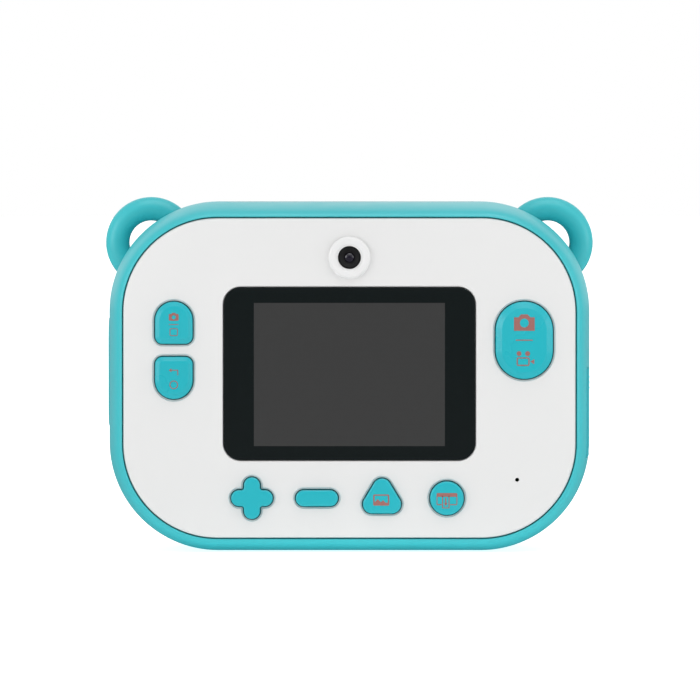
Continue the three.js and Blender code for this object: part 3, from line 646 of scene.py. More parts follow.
carve(rear_shell, box_tool(
    (CASE_HIGH.x - PORT_REACH, *(PORT[0] - port_gap).yz), (CASE_HIGH.x + PAST, *(PORT[1] + port_gap).yz)))
print("case halves with openings", len(rear_shell.data.polygons), len(front_shell.data.polygons), "faces")

# %% [markdown]
# A finished piece needs the same things each time: its finish, the CAD node that it stands for, and the body
# that it moves with. One short function says them together. It also adds weighted normals, which keep broad
# faces looking flat where they meet a small rounded edge.

# %% Dress a piece
BODY_OF = {node: body for body, nodes in frame["record"]["behaviour"]["bodies"].items() for node in nodes}
SLOT_OF = {row["node"]: row["material_slot"] for row in frame["record"]["subparts"]}


def dress(obj, material, node, replaces=True):
    """Gives a piece its finish and the body of a CAD node, which it hides if it replaces it."""
    take(obj)
    even = obj.modifiers.new("even shading", "WEIGHTED_NORMAL")
    even.keep_sharp = True
    bpy.ops.object.modifier_apply(modifier=even.name)
    obj.data.materials.clear()
    obj.data.materials.append(material)
    if replaces:
        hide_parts(node)
    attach(obj, BODY_OF[node])
    print(obj.name, "has", len(obj.data.polygons), "faces, in", material.name, "riding on", BODY_OF[node])
    return obj


for shell, node in ((rear_shell, "rear_shell"), (front_shell, "front_shell")):
    dress(smooth(shell), TEAL_CASE, node)

# %% [markdown]
# ## Strap loops
# The ears are rings clamped between the case halves. Half of each ring is hidden inside, so the torus is
# bisected a little way inside the case and its cut ends are filled, with a faint mould line left round the
# ring's middle.

# %% Model the loops
LOOP_DEPTH = 6.4  # from the ring's middle to its cut ends, inside the case
MOULD_LINE = 0.12
NEAR = 0.01  # millimetres within which an edge counts as lying on a line

for side, node in ((-1, "strap_loop_left"), (1, "strap_loop_right")):
    ear = ring_of("ear_loop_" + node.split("_")[-1], side)
    edit(ear)
    bpy.ops.mesh.select_all(action="SELECT")
    centre = span(node)[2]
    centre.y = MIDDLE_Y
    inward = Vector((-side, 0, -1)).normalized()
    cut = centre + inward * LOOP_DEPTH
    bpy.ops.mesh.bisect(plane_co=cut * MM, plane_no=inward, use_fill=True, clear_outer=True)
    bpy.ops.mesh.select_all(action="DESELECT")
    mesh = bmesh.from_edit_mesh(ear.data)
    for e in mesh.edges:
        ends = [v.co / MM - centre for v in e.verts]
        e.select_set(all(abs(end.y) < NEAR and end.length > LOOP_R - NEAR for end in ends))
    bmesh.update_edit_mesh(ear.data)
    bpy.ops.mesh.bevel(offset=MOULD_LINE * MM, segments=2, profile=0.2, affect="EDGES")
    close_up(ear, 40)
    dress(ear, TEAL_CASE, node)

# %% [markdown]
# ## Rear panel
# The keys come before the panel, because their outlines cut its holes. Each key's cap is found in the
# frame, and its kind of outline is chosen by its name: two arches, a plus, a rounded triangle, a disc and
# two pills. The flange behind the panel, which keeps the key from falling out, is taken off the CAD node's
# size first.

# %% Keys, as drawn outlines
PLUS_ARM = 4.1
FLANGE = 0.9  # how far a key's flange, behind the panel, stands out past its cap
CORNER = {"mode_key": 1.9, "back_key": 1.9, "plus_key": 0.7, "gallery_key": 2.35}
KEYS = ["mode_key", "back_key", "shutter_key", "plus_key", "minus_key", "gallery_key", "print_key"]


def key_box(node):
    """Middle X, middle Z, width and height of a key's cap, without the flange that its CAD node also holds."""
    low, high, mid = span(node)
    return mid.x, mid.z, high.x - low.x - 2 * FLANGE, high.z - low.z - 2 * FLANGE


def key_outline(node, grow=0.0):
    x, z, w, h = key_box(node)
    if node in ("mode_key", "back_key"):
        return arch(x, z, w, h, CORNER[node], 1 if node == "mode_key" else -1, grow)
    if node == "plus_key":
        return plus(x, z, w, PLUS_ARM, CORNER[node], grow)
    if node == "gallery_key":
        return triangle(x, z, w, h, CORNER[node], grow)
    if node == "print_key":
        return disc(x, z, w / 2, grow)
    return rounded(x, z, w, h, min(w, h) / 2, grow)


for node in KEYS:
    print(node, [round(v, 2) for v in key_box(node)])

# %% [markdown]
# The white panel is one moulding: a plate with a softly rounded edge, a shallow seat for the screen window,
# and a hole for every key. Each hole's rim is rounded, which is the pale halo round the keys. The cutter
# for a hole is its outline at its widest, stepped in along a quarter circle as it goes down. The panels
# follow the case's outline, so they are drawn with the same corner centres and a smaller radius.

# %% Model the rear panel
KEY_GAP, RIM_ROUND, EDGE_ROUND = 0.3, 0.38, 0.6
OVERSHOOT = 0.5  # how far a cutter stands out of the face that it cuts


def hole_tool(face, facing, outline_at, rim, depth=4.0, clear=KEY_GAP):
    """A cutter for a hole with a rounded rim. outline_at(grow) gives the hole's outline."""
    obj = outline("tool", face + facing * OVERSHOOT, *outline_at(clear + rim))
    pull(0, -facing * OVERSHOOT)
    step_out(flare(rim), -facing)
    pull(0, -facing * depth)
    return close_up(obj)


PANEL_R = CASE_R - RIM_INSET - CLEAR
PANEL_W, PANEL_H = PANEL_HIGH.x - PANEL_LOW.x, PANEL_HIGH.z - PANEL_LOW.z
WINDOW = span("screen_window")
WINDOW_W, WINDOW_H = WINDOW[1].x - WINDOW[0].x, WINDOW[1].z - WINDOW[0].z
WINDOW_R, SEAT_DEPTH, SEAT_GAP = 4.5, 1.28, 0.18
DISPLAY_W, DISPLAY_H = 54, 40.4  # the opening in the seat, for the display behind the window
SELFIE = span("selfie_ring")
SELFIE_AT = (SELFIE[2].x, SELFIE[2].z)
SELFIE_HOLE = 4.3
MIC_AT, MIC_R = (43.0, 18.8), 0.5

rear_panel = slab("rear_plate", REAR_FACE + PANEL_T, REAR_FACE, *rounded(
    0, PANEL_MID.z, PANEL_W, PANEL_H, PANEL_R), round_off=EDGE_ROUND, step=3)
tools = []
for node in KEYS:
    tools.append(hole_tool(REAR_FACE, -1, lambda grow: key_outline(node, grow), RIM_ROUND))
tools.append(hole_tool(REAR_FACE, -1, lambda grow: disc(*SELFIE_AT, SELFIE_HOLE, grow), 0.1, clear=0.1))
tools.append(hole_tool(REAR_FACE, -1, lambda grow: disc(*MIC_AT, MIC_R, grow), 0.12, clear=0.0))
tools.append(hole_tool(REAR_FACE, -1, lambda grow: rounded(
    0, WINDOW[2].z, DISPLAY_W, DISPLAY_H, 1, grow), 0.2, clear=0.0))
tools.append(hole_tool(REAR_FACE, -1, lambda grow: rounded(
    0, WINDOW[2].z, WINDOW_W, WINDOW_H, WINDOW_R, grow), 0.22, SEAT_DEPTH, SEAT_GAP))
dress(smooth(carve(rear_panel, *tools)), WHITE_CASE, "rear_panel")

# %% [markdown]
# ## Keys
# All seven keys start as the same outline pulled out through the panel. What differs is the top: the oval
# shutter key has a broad sloping band round a slightly dished middle, the two arch keys are shouldered, and
# the four small keys have only a soft edge. The list of (inset, rise) steps is the whole difference between
# them.

# %% Model the keys
KEY_TOP = {
    "shutter_key": [*quarter(0.18, 3), (1.4, 0.72), (0.08, 0.02), (0.1, 0.0), (0.3, -0.03), (0.9, -0.05)],
    "mode_key": [*quarter(0.18, 3), (0.85, 0.42), (0.1, 0.04), (0.3, 0.04), (0.35, 0.03)],
    "plus_key": [*quarter(0.4, 5), (0.2, 0.06), (0.35, 0.03)],
}
KEY_TOP["back_key"] = KEY_TOP["mode_key"]
for node in ("minus_key", "gallery_key", "print_key"):
    KEY_TOP[node] = KEY_TOP["plus_key"]
FLANGE_Y, FLANGE_T = REAR_FACE + PANEL_T + 0.2, 0.8
OVERLAP = FLANGE_T / 2  # how far the cap reaches into its flange
STEM_R, STEM_SOFT = 1.5, 0.2
CRISP = 25  # degrees, low enough to keep the shutter key's sloping band apart from its top

for node in KEYS:
    low, high, mid = span(node)
    wall_end = low.y + sum(rise for inset, rise in KEY_TOP[node])
    key = outline(node.replace("key", "cap"), FLANGE_Y + OVERLAP, *key_outline(node))
    pull(0, wall_end - FLANGE_Y - OVERLAP)
    step_out(KEY_TOP[node])
    close_up(key, CRISP)
    flange_outline = key_outline(node, FLANGE)
    if node == "plus_key":
        flange_outline = plus(mid.x, mid.z, high.x - low.x, PLUS_ARM + 2 * FLANGE, CORNER[node])
    flange = slab("flange", FLANGE_Y + FLANGE_T, FLANGE_Y, *flange_outline)
    stem = turned("stem", mid.x, mid.z, [
        (0, FLANGE_Y + 0.5), (STEM_R, FLANGE_Y + 0.5), (STEM_R, high.y - STEM_SOFT),
        (STEM_R - STEM_SOFT, high.y), (0, high.y)], 15)
    dress(smooth(carve(key, flange, stem, how="UNION"), CRISP), TEAL_KEY, node)

# %% [markdown]
# ## Screen window
# The window is a clear sheet with a black border printed on its back, and the dark grey rectangle is the
# screen itself, switched off. Both lie under one polished face, so it is one piece whose material changes
# at the edge of the lit area.

# %% Window material and piece
LIT_W, LIT_H = 48.96, 36.72  # a 2.4 inch screen's lit area
LIT_Z = WINDOW[2].z - 0.2
DOT = 0.153  # spacing of the screen's dots
PRINT_EDGE = 0.05  # how softly the printed border ends


def window_finish(name):
    """Polished black, with a dark grey rectangle where the screen shows."""
    material, tree, node, coordinates = shader(name, 0.09, Specular_IOR_Level=0.25)
    smudge = ramp(tree, noise(tree, coordinates, 60, 4), 0.45, 0.8, 0.08, 0.14)
    tree.links.new(smudge, node.inputs["Roughness"])
    axes = tree.nodes.new("ShaderNodeSeparateXYZ")
    tree.links.new(coordinates, axes.inputs["Vector"])
    inside = None
    for axis, middle, width in (("X", 0, LIT_W), ("Z", LIT_Z, LIT_H)):
        away = math_node(tree, "ABSOLUTE", math_node(tree, "SUBTRACT", axes.outputs[axis], middle * MM), 0)
        edge = width / 2 * MM
        near = ramp(tree, away, edge - PRINT_EDGE * MM, edge + PRINT_EDGE * MM, 1.0, 0.0)
        inside = near if inside is None else math_node(tree, "MULTIPLY", inside, near)
    lines = tree.nodes.new("ShaderNodeTexWave")
    lines.bands_direction = "Z"
    lines.inputs["Scale"].default_value = 1 / (DOT * MM) / math.tau
    tree.links.new(coordinates, lines.inputs["Vector"])
    screen = mix_colour(tree, lines.outputs["Fac"], (0.042, 0.042, 0.042), (0.046, 0.046, 0.046))
    tree.links.new(mix_colour(tree, inside, (0.0065, 0.0095, 0.0098), screen), node.inputs["Base Color"])
    return material


WINDOW_GLOSS = window_finish("screen window")
window = slab("window_sheet", WINDOW[1].y, WINDOW[0].y, *rounded(
    0, WINDOW[2].z, WINDOW_W, WINDOW_H, WINDOW_R), round_off=0.22, step=3)
dress(window, WINDOW_GLOSS, "screen_window")

# %% [markdown]
# ## Selfie camera
# A white ring stands about a millimetre proud of the panel. Inside its bevel sits a tiny black lens:
# stepped rings that lead down to a glass bead, which a lathe profile draws in one go.

# %% Model the selfie camera
def arc_points(cx, cy, r, first, last, count):
    """Points of an arc, from one angle in degrees to another."""
    angles = [math.radians(first + (last - first) * i / count) for i in range(count + 1)]
    return [(cx + r * math.cos(a), cy + r * math.sin(a)) for a in angles]


ring_top = SELFIE[0].y
selfie_ring = turned("selfie_bezel", *SELFIE_AT, [
    (2.95, SELFIE[1].y), (4.2, SELFIE[1].y), (4.2, REAR_FACE - 0.05), (5.3, REAR_FACE - 0.05),
    *arc_points(4.65, ring_top + 0.75, 0.75, 0, -90, 6), (4.2, ring_top + 0.02), (3.7, ring_top + 0.05),
    (3.55, ring_top + 0.12), (3.1, ring_top + 0.72), (2.95, ring_top + 0.85)], 4)
dress(selfie_ring, WHITE_TRIM, "selfie_ring")
glass_y = span("selfie_lens")[0].y
selfie_lens = turned("selfie_lens_stack", *SELFIE_AT, [
    (0, SELFIE[1].y + 1.0), (2.65, SELFIE[1].y + 1.0), (2.65, glass_y), (2.3, glass_y), (2.2, glass_y + 0.12),
    (1.95, glass_y + 0.14), (1.75, glass_y + 0.4), (1.45, glass_y + 0.42), (1.3, glass_y + 0.75),
    (0.95, glass_y + 0.8), (0, glass_y + 0.8)], 5)
dress(selfie_lens, LENS_BLACK, "selfie_lens")

# %% [markdown]
# A lens is coated against reflections, and what little it still reflects is violet or blue. Fresnel gives how
# much a surface reflects at each angle, so mixing the tint into the base colour by it paints that violet
# reflection near the bead's rim, where it shows.

# %% Coated glass and the bead
def coated_glass(name, reflection_tint):
    """Dark lens glass, with its coating's violet and blue reflection painted into its colour towards the rim."""
    material, tree, node, coordinates = shader(name, 0.03, Coat_Weight=1.0, Coat_Roughness=0.02)
    rim = tree.nodes.new("ShaderNodeFresnel")
    rim.inputs["IOR"].default_value = 1.6
    # Painted reflection: the violet tint goes into the base colour by Fresnel, strongest towards the rim.
    painted_reflection = mix_colour(tree, rim.outputs["Fac"], (0.004, 0.004, 0.006), reflection_tint)
    tree.links.new(painted_reflection, node.inputs["Base Color"])
    tree.links.new(ramp(tree, noise(tree, coordinates, 90), 0.4, 0.8, 0.02, 0.06), node.inputs["Roughness"])
    return material


LENS_GLASS = coated_glass("coated lens", (0.10, 0.06, 0.22))
bead = turned("selfie_bead", *SELFIE_AT, [
    (0, glass_y + 0.85), (1.2, glass_y + 0.85), (1.2, glass_y + 0.6), (1.0, glass_y + 0.42),
    (0.7, glass_y + 0.3), (0.35, glass_y + 0.24), (0, glass_y + 0.22)], 6)
dress(bead, LENS_GLASS, "selfie_lens", replaces=False)

# %% [markdown]
# ## Icons
# Five of the keys carry small printed pictures. Printed ink has next to no thickness, so each picture is a
# thin inlay whose top stands a few hundredths of a millimetre above the key's face. It rides on the key,
# and goes in with it. Every picture is built from bars, discs and polygons about its key's middle.

# %% Icon helpers
INK_DEEP, INK_PROUD = 0.15, 0.035
INK_STEP = 12  # degrees of arc to one edge, enough for so small a drawing


def polygon(*points):
    return points[0], [("to", *p) for p in (*points[1:], points[0])]


def bar(x, z, w, h):
    left, right, low, high = x - w / 2, x + w / 2, z - h / 2, z + h / 2
    return polygon((left, low), (right, low), (right, high), (left, high))


def inlay(node, name, solids, holes=()):
    """One ink picture on a key, from outlines about the key's middle."""
    x, z = key_box(node)[:2]
    face = span(node)[0].y
    first, *rest = [slab("ink", face + INK_DEEP, face - INK_PROUD, *shape, step=INK_STEP) for shape in solids]
    carve(first, *rest, how="UNION")
    carve(first, *[slab("tool", face + 1, face - 1, *shape, step=INK_STEP) for shape in holes])
    edit(first)
    bpy.ops.mesh.select_all(action="SELECT")
    bpy.ops.transform.translate(value=(x * MM, 0, z * MM))
    fresh()
    first.name = first.data.name = name
    return dress(first, INK, node, replaces=False)


print("ink stands", INK_PROUD, "mm above a key")

# %% [markdown]
# A camera and a film camera share the shutter key, with a divider between them. The mode key has the same
# two ideas smaller, the back key a return arrow, the triangle key a landscape, and the round key a printer
# feeding paper out.

# %% Print the icons
inlay("shutter_key", "icon_photo", [polygon(
    (-2.65, 2.46), (2.65, 2.46), (2.65, 5.9), (1.5, 5.9), (0.85, 6.65), (-0.85, 6.65), (-1.5, 5.9),
    (-2.65, 5.9))], [disc(0, 4.45, 1.15)])
inlay("shutter_key", "icon_divider", [bar(0, 0.05, 4.4, 0.26)])
inlay("shutter_key", "icon_film", [
    rounded(-0.3, -5.45, 3.3, 2.2, 0.4), polygon((1.55, -5.45), (2.55, -6.1), (2.55, -4.8)),
    disc(-1.35, -3.4, 0.62), disc(0.85, -3.4, 0.62)], [rounded(-0.3, -5.45, 2.7, 1.6, 0.15)])
inlay("mode_key", "icon_small_photo", [rounded(0, 1.4, 2.5, 1.75, 0.3), bar(0, 2.35, 1.0, 0.4)], [
    disc(0, 1.4, 0.52)])
inlay("mode_key", "icon_small_divider", [bar(0, -0.45, 2.4, 0.16)])
inlay("mode_key", "icon_small_frame", [rounded(0, -2.4, 2.1, 1.95, 0.4)], [
    rounded(0, -2.4, 1.74, 1.59, 0.22)])
inlay("back_key", "icon_return", [
    bar(0.1, 2.0, 2.0, 0.2), bar(1.02, 1.4, 0.2, 1.36), polygon((-1.3, 2.0), (-0.6, 1.55), (-0.6, 2.45))])
inlay("back_key", "icon_ring", [disc(0, -1.75, 1.1)], [disc(0, -1.75, 0.88)])
inlay("gallery_key", "icon_picture", [rounded(-0.2, -1.0, 4.1, 2.85, 0.3)], [polygon(
    (-1.9, -0.1), (-1.9, -1.6), (-1.1, -0.75), (-0.3, -1.55), (0.3, -1.05), (0.9, -1.7), (1.5, -1.7),
    (1.5, 0.1), (-1.9, 0.1))])
inlay("print_key", "icon_printer", [rounded(0, -0.2, 5.3, 3.1, 0.3)], [
    bar(0, -0.55, 4.9, 1.9), bar(-0.3, -1.5, 2.1, 1)])
inlay("print_key", "icon_print", [bar(-0.3, -0.95, 1.9, 3.2)], [bar(-0.3, -0.75, 1.4, 3.2)])
inlay("print_key", "icon_print_arrow", [bar(-0.3, -0.6, 0.3, 1.4), polygon(
    (-0.3, -2.0), (0.15, -1.2), (-0.75, -1.2))])

# %% [markdown]
# ## The sides and the top
# The sound comes out on the left through thirteen slots with round ends. One slot is drawn, an array
# repeats it, and the row is cut out of the grille in one go. The two end slots are shorter, to follow the
# grille's round ends.

# %% Model the speaker grille
SLOT_ROW = {"count": 13, "pitch": 1.94, "long": 9.0, "short": 5.4, "height": 0.95}
SLOT_STEP = 15
grille = flat_tool("X", GRILLE[1].x, GRILLE[0].x, *rounded(
    GRILLE[2].y, GRILLE[2].z, grille_w, grille_h, grille_w / 2), step=5, round_off=0.25)


def slot_row(length, index, count=1):
    """A cutter for a row of slots that starts at an index."""
    z = GRILLE[2].z + (index - (SLOT_ROW["count"] - 1) / 2) * SLOT_ROW["pitch"]
    obj = flat_tool("X", GRILLE[0].x - 1, GRILLE[1].x + 1, *rounded(
        GRILLE[2].y, z, length, SLOT_ROW["height"], SLOT_ROW["height"] / 2), step=SLOT_STEP)
    row = obj.modifiers.new("row", "ARRAY")
    row.use_relative_offset = False
    row.use_constant_offset = True
    row.constant_offset_displace = (0, 0, SLOT_ROW["pitch"] * MM)
    row.count = count
    take(obj)
    bpy.ops.object.modifier_apply(modifier=row.name)
    return obj


last = SLOT_ROW["count"] - 1
carve(grille, slot_row(SLOT_ROW["short"], 0), slot_row(SLOT_ROW["long"], 1, last - 1), slot_row(
    SLOT_ROW["short"], last))
grille.name = grille.data.name = "sound_grille"
dress(smooth(grille, 35), TEAL_CASE, "speaker_grille")

# %% [markdown]
# The sockets hide behind a soft rubber flap that swings on a round knuckle along its lower edge. Rubber has
# no sharp edges, so a bevel modifier goes round everything that turns by more than forty degrees. Three
# ridges give a grip.

# %% Model the port cover
FLAP_CORNER, FLAP_SOFT = 0.4, 0.2
RIDGE_HALF, RIDGE_R, RIDGE_SUNK = 2.4, 0.35, 0.1
SHARP = 40  # degrees an edge turns by before it is rounded

low, high, mid = PORT
knuckle = (high.x - low.x) / 2
flap = slab("socket_flap", low.y, high.y, (low.x, low.z + knuckle), [
    ("arc", mid.x, low.z + knuckle, 180), ("to", high.x, high.z - FLAP_CORNER),
    ("arc", high.x - FLAP_CORNER, high.z - FLAP_CORNER, 90), ("to", low.x, high.z),
    ("to", low.x, low.z + knuckle)], step=10)
ridges = []
for drop in (2.2, 3.6, 5.0):
    ridge = disc(high.x - RIDGE_SUNK, high.z - drop, RIDGE_R)
    ridges.append(slab("ridge", mid.y - RIDGE_HALF, mid.y + RIDGE_HALF, *ridge, step=20))
carve(flap, *ridges, how="UNION")
softer = flap.modifiers.new("soft edges", "BEVEL")
softer.width = FLAP_SOFT * MM
softer.segments = 3
softer.angle_limit = math.radians(SHARP)
bpy.ops.object.modifier_apply(modifier=softer.name)
dress(smooth(flap, SHARP), RUBBER, "port_cover")

# %% [markdown]
# The paper comes out of a slot in the top. Its lower edge is a row of saw teeth to tear against: one tooth
# is two pencil strokes, repeated along the slot.

# %% Model the paper exit
PAPER_Y = EXIT[2].y
TOOTH, TOOTH_H, SLOT_W, SLOT_D = 2.0, 0.8, 59.0, 2.4
EXIT_SUNK, EXIT_T = 0.05, 2.6  # how far the plate lies below the case's top, and how far down it reaches

exit_plate = flat_tool("Z", CASE_TOP - EXIT_T, CASE_TOP - EXIT_SUNK, *rounded(
    0, PAPER_Y, exit_w, exit_d, EXIT_R), step=5, round_off=0.35)
exit_flange = flat_tool("Z", EXIT[0].z, CASE_TOP - EXIT_T + 0.1, *rounded(
    0, PAPER_Y, exit_w, exit_d, EXIT_R, EXIT_FLANGE))
edge = PAPER_Y - SLOT_D / 2
teeth = []
for i in range(int(SLOT_W / TOOTH)):
    x = -SLOT_W / 2 + i * TOOTH
    teeth += [(x, edge), (x + TOOTH / 2, edge + TOOTH_H)]
mouth = flat_tool("Z", EXIT[0].z - PAST, CASE_TOP + PAST, *polygon(
    *teeth, (SLOT_W / 2, edge), (SLOT_W / 2, edge + SLOT_D), (-SLOT_W / 2, edge + SLOT_D)))
carve(exit_plate, exit_flange, how="UNION")
carve(exit_plate, mouth)
exit_plate.name = exit_plate.data.name = "paper_slot"
dress(smooth(exit_plate), WHITE_TRIM, "paper_exit")

# %% [markdown]
# ## The lens side
# The front panel is the rear panel's twin, with a doorway for the paper and holes for the lens and the
# flash. The door's lower corners are square, because it swings out over its own lower edge.

# %% Model the front panel
LENS_AT = (0.0, span("lens_ring")[2].z)
FLASH = span("flash_window")
FLASH_AT = (FLASH[2].x, FLASH[2].z)
LENS_HOLE, FLASH_HOLE = 14, 3.2
DOOR_X, DOOR_LOW, DOOR_HIGH, DOOR_R = 33.0, 8.5, 44.5, 6.0
KNUCKLE, PIN, PIN_GAP = 3.2, 1.2, 0.25
HINGE_Y, HINGE_Z = FRONT_FACE - KNUCKLE, DOOR_LOW + KNUCKLE
LUG_X, LUG_GAP, LUG_HALF = 36.0, 0.4, 3.0
LUG_BACK, LUG_FRONT = HINGE_Y - 3.4, FRONT_FACE - PANEL_T + 0.5


def door_outline(grow=0.0):
    across, up, r = DOOR_X + grow, DOOR_HIGH - DOOR_R, DOOR_R + grow
    return (across, DOOR_LOW - grow), [
        ("to", across, up), ("arc", DOOR_X - DOOR_R, up, 90), ("to", DOOR_R - DOOR_X, up + r),
        ("arc", DOOR_R - DOOR_X, up, 90), ("to", -across, DOOR_LOW - grow), ("to", across, DOOR_LOW - grow)]


front_panel = slab("front_plate", FRONT_FACE - PANEL_T, FRONT_FACE, *rounded(
    0, PANEL_MID.z, PANEL_W, PANEL_H, PANEL_R), round_off=EDGE_ROUND, step=3)
carve(
    front_panel,
    hole_tool(FRONT_FACE, 1, door_outline, 0.35, clear=0.35),
    hole_tool(FRONT_FACE, 1, lambda grow: disc(*LENS_AT, LENS_HOLE, grow), 0.1),
    hole_tool(FRONT_FACE, 1, lambda grow: disc(*FLASH_AT, FLASH_HOLE, grow), 0.35),
)
for side in (-1, 1):
    inner, outer = sorted((side * (DOOR_X + LUG_GAP), side * LUG_X))
    lug = box_tool((inner, LUG_BACK, HINGE_Z - LUG_HALF), (outer, LUG_FRONT, HINGE_Z + LUG_HALF), "lug")
    carve(lug, flat_tool("X", inner - 1, outer + 1, *disc(HINGE_Y, HINGE_Z, PIN + PIN_GAP)))
    carve(front_panel, lug, how="UNION")
dress(smooth(front_panel), WHITE_CASE, "front_panel")

# %% [markdown]
# The door is two drawings crossed. Seen from the side it is a plate that curls into a round knuckle at the
# bottom, and seen from the front it is the doorway's outline. Keeping only what lies inside both gives the
# finished plate.

# %% Model the paper door
RIB_Z, RIB_W, RIB_H, RIB_T = 30.4, 56, 25, 1.5
CATCH_LOW, CATCH_HIGH, CATCH_HALF = 42.6, 44.1, 6
GRIP_W, GRIP_H, GRIP_DROP = 24, 3.2, 4
BACK = FRONT_FACE - PANEL_T + 0.3  # where the ribs and the catch start, a little inside the plate

door = flat_tool("X", -DOOR_X - PAST, DOOR_X + PAST, (FRONT_FACE, HINGE_Z), [
    ("to", FRONT_FACE, DOOR_HIGH + 1), ("to", FRONT_FACE - PANEL_T, DOOR_HIGH + 1),
    ("to", FRONT_FACE - PANEL_T, HINGE_Z + KNUCKLE * 0.93), ("to", HINGE_Y, HINGE_Z + KNUCKLE),
    ("arc", HINGE_Y, HINGE_Z, 270)], step=5)
carve(door, slab("tool", FRONT_FACE - 12, FRONT_FACE, *door_outline(), round_off=EDGE_ROUND), how="INTERSECT")
ribs = slab("ribs", FRONT_FACE - 3.4, BACK, *rounded(0, RIB_Z, RIB_W, RIB_H, 2))
carve(ribs, slab("tool", FRONT_FACE - 4, FRONT_FACE - 1, *rounded(
    0, RIB_Z, RIB_W - 2 * RIB_T, RIB_H - 2 * RIB_T, 1)))
catch = box_tool((-CATCH_HALF, FRONT_FACE - 3.6, CATCH_LOW), (CATCH_HALF, BACK, CATCH_HIGH), "catch")
grip = slab("grip", FRONT_FACE - 0.5, FRONT_FACE + 1.6, *rounded(
    0, DOOR_HIGH - GRIP_DROP, GRIP_W, GRIP_H, GRIP_H / 2), round_off=1.5)
pins = []
for side in (-1, 1):
    pin = disc(HINGE_Y, HINGE_Z, PIN)
    pins.append(flat_tool("X", side * (DOOR_X - 2), side * LUG_X, *pin, step=10, round_off=0.3))
carve(door, ribs, catch, grip, *pins, how="UNION")
door.name = door.data.name = "paper_hatch"
dress(smooth(door, 35), TEAL_CASE, "paper_door")

# %% [markdown]
# The lens ring, its glass and the stepped baffle behind it are lathe pieces. The glass is really clear, so
# that the barrel with its coated front element shows through it. Seven small steps line the baffle, as in a
# real lens, where they stop light from glancing off the wall.

# %% Model the lens
def local(*points):
    """Lathe points whose second number is measured from the middle between the two faces."""
    return [(r, y + MIDDLE_Y) for r, y in points]


lens_ring = turned("lens_surround", *LENS_AT, local(
    (11.5, 20.6), (14, 20.6), (14, 24.15), (16.5, 24.15), *arc_points(15.2, 27.5, 1.3, 0, 90, 8),
    (13.9, 28.8), (13.75, 28.6), (13.45, 28.6), (13.3, 28.8), *arc_points(13.0, 28.3, 0.5, 90, 150, 4),
    (11.5, 27)), 3)
dress(lens_ring, TEAL_CASE, "lens_ring")
CLEAR_GLASS, _, clear, _ = shader("clear lens cover", 0.02, Transmission_Weight=1.0, IOR=1.49)
clear.inputs["Base Color"].default_value = (0.98, 0.98, 0.98, 1)
STEPS, STEP_IN, STEP_BACK = 7, 1.05, 0.42
lens_cover = turned("lens_glass", *LENS_AT, local(
    (0, 25.8), (11.25, 25.8), (11.25, 26.6), (11.05, 26.8), (0, 26.8)), 4)
dress(lens_cover, CLEAR_GLASS, "lens_cover")
steps = []
for i in range(STEPS):
    r, y = 11.2 - STEP_IN * i, 24.9 - STEP_BACK * i
    steps += [(r - 0.6, y), (r - STEP_IN, y - 0.1)]
baffle = turned("lens_steps", *LENS_AT, local(
    (4.4, 14.5), (5.6, 14.5), (5.6, 20.8), (11.2, 20.8), (11.2, 25.5), (10.6, 25.5), *steps[:-1],
    (4.4, 22.2)), 5)
dress(baffle, LENS_BLACK, "lens_baffle")
barrel = turned("lens_barrel_front", *LENS_AT, local(
    (0, 13.6), (4.1, 13.6), (4.1, 22.8), (3.9, 23.0), (3.5, 23.0), (3.3, 22.7), (2.9, 22.6), (2.8, 22.2),
    (0, 22.2)), 6)
dress(barrel, LENS_BLACK, "lens_barrel")
GLASS_R, BULGE = 2.75, 0.45
curve_r = (GLASS_R ** 2 + BULGE ** 2) / (2 * BULGE)
opening = math.degrees(math.asin(GLASS_R / curve_r))
element = turned("lens_element", *LENS_AT, local(
    (0, 22.1), (GLASS_R, 22.1), *arc_points(0, 22.35 + BULGE - curve_r, curve_r, 90 - opening, 90, 8)), 6)
dress(element, LENS_GLASS, "lens_barrel", replaces=False)

# %% [markdown]
# The flash window is frosted plastic with rings cut in its face, which spread the light. Part of the light
# passes through it, so it is paler than the panel without looking painted.

# %% Model the flash window
FLASH_GLASS = plastic("frosted flash window", (0.78, 0.8, 0.8), 0.25, Transmission_Weight=0.35)
flash = turned("flash_diffuser", *FLASH_AT, local(
    (0, 21.4), (3.2, 21.4), (3.2, 23.9), (3.05, 24.15), (2.8, 24.2), (2.6, 24.05), (2.3, 24.2), (2.1, 24.05),
    (1.8, 24.2), (1.6, 24.05), (1.3, 24.2), (1.1, 24.05), (0.8, 24.2), (0, 24.2)), 8)
dress(flash, FLASH_GLASS, "flash_window")

# %% [markdown]
# ## What is inside
# The inner pieces keep their CAD shapes, and get their own finishes. They show when the paper door is open,
# and through the slots. Metal has a drawn or rolled direction, so its group stretches a noise along one
# axis, and adds a few deeper scratches.

# %% Worked metal group
def metal_group():
    """Puts out a roughness mask and a height for brushed or rolled metal."""
    group = bpy.data.node_groups.new("worked metal", "ShaderNodeTree")
    add_socket(group, "Vector", "INPUT", "NodeSocketVector")
    add_socket(group, "Brush size", "INPUT", value=1500.0)
    add_socket(group, "Brush", "OUTPUT")
    add_socket(group, "Height", "OUTPUT")
    inside, outside = group_nodes(group)
    stretch = group.nodes.new("ShaderNodeMapping")
    stretch.inputs["Scale"].default_value = (0.04, 1.0, 1.0)
    group.links.new(inside.outputs["Vector"], stretch.inputs["Vector"])
    streaks = group.nodes.new("ShaderNodeTexNoise")
    streaks.inputs["Detail"].default_value = 3.0
    group.links.new(stretch.outputs["Vector"], streaks.inputs["Vector"])
    group.links.new(inside.outputs["Brush size"], streaks.inputs["Scale"])
    scratches = ramp(group, noise(group, stretch.outputs["Vector"], 400, 1), 0.62, 0.66)
    group.links.new(ramp(group, streaks.outputs["Fac"], 0.3, 0.7), outside.inputs["Brush"])
    deep = math_node(group, "MULTIPLY", scratches, -0.5)
    group.links.new(math_node(group, "ADD", streaks.outputs["Fac"], deep), outside.inputs["Height"])
    return group


WORKED_METAL = metal_group()


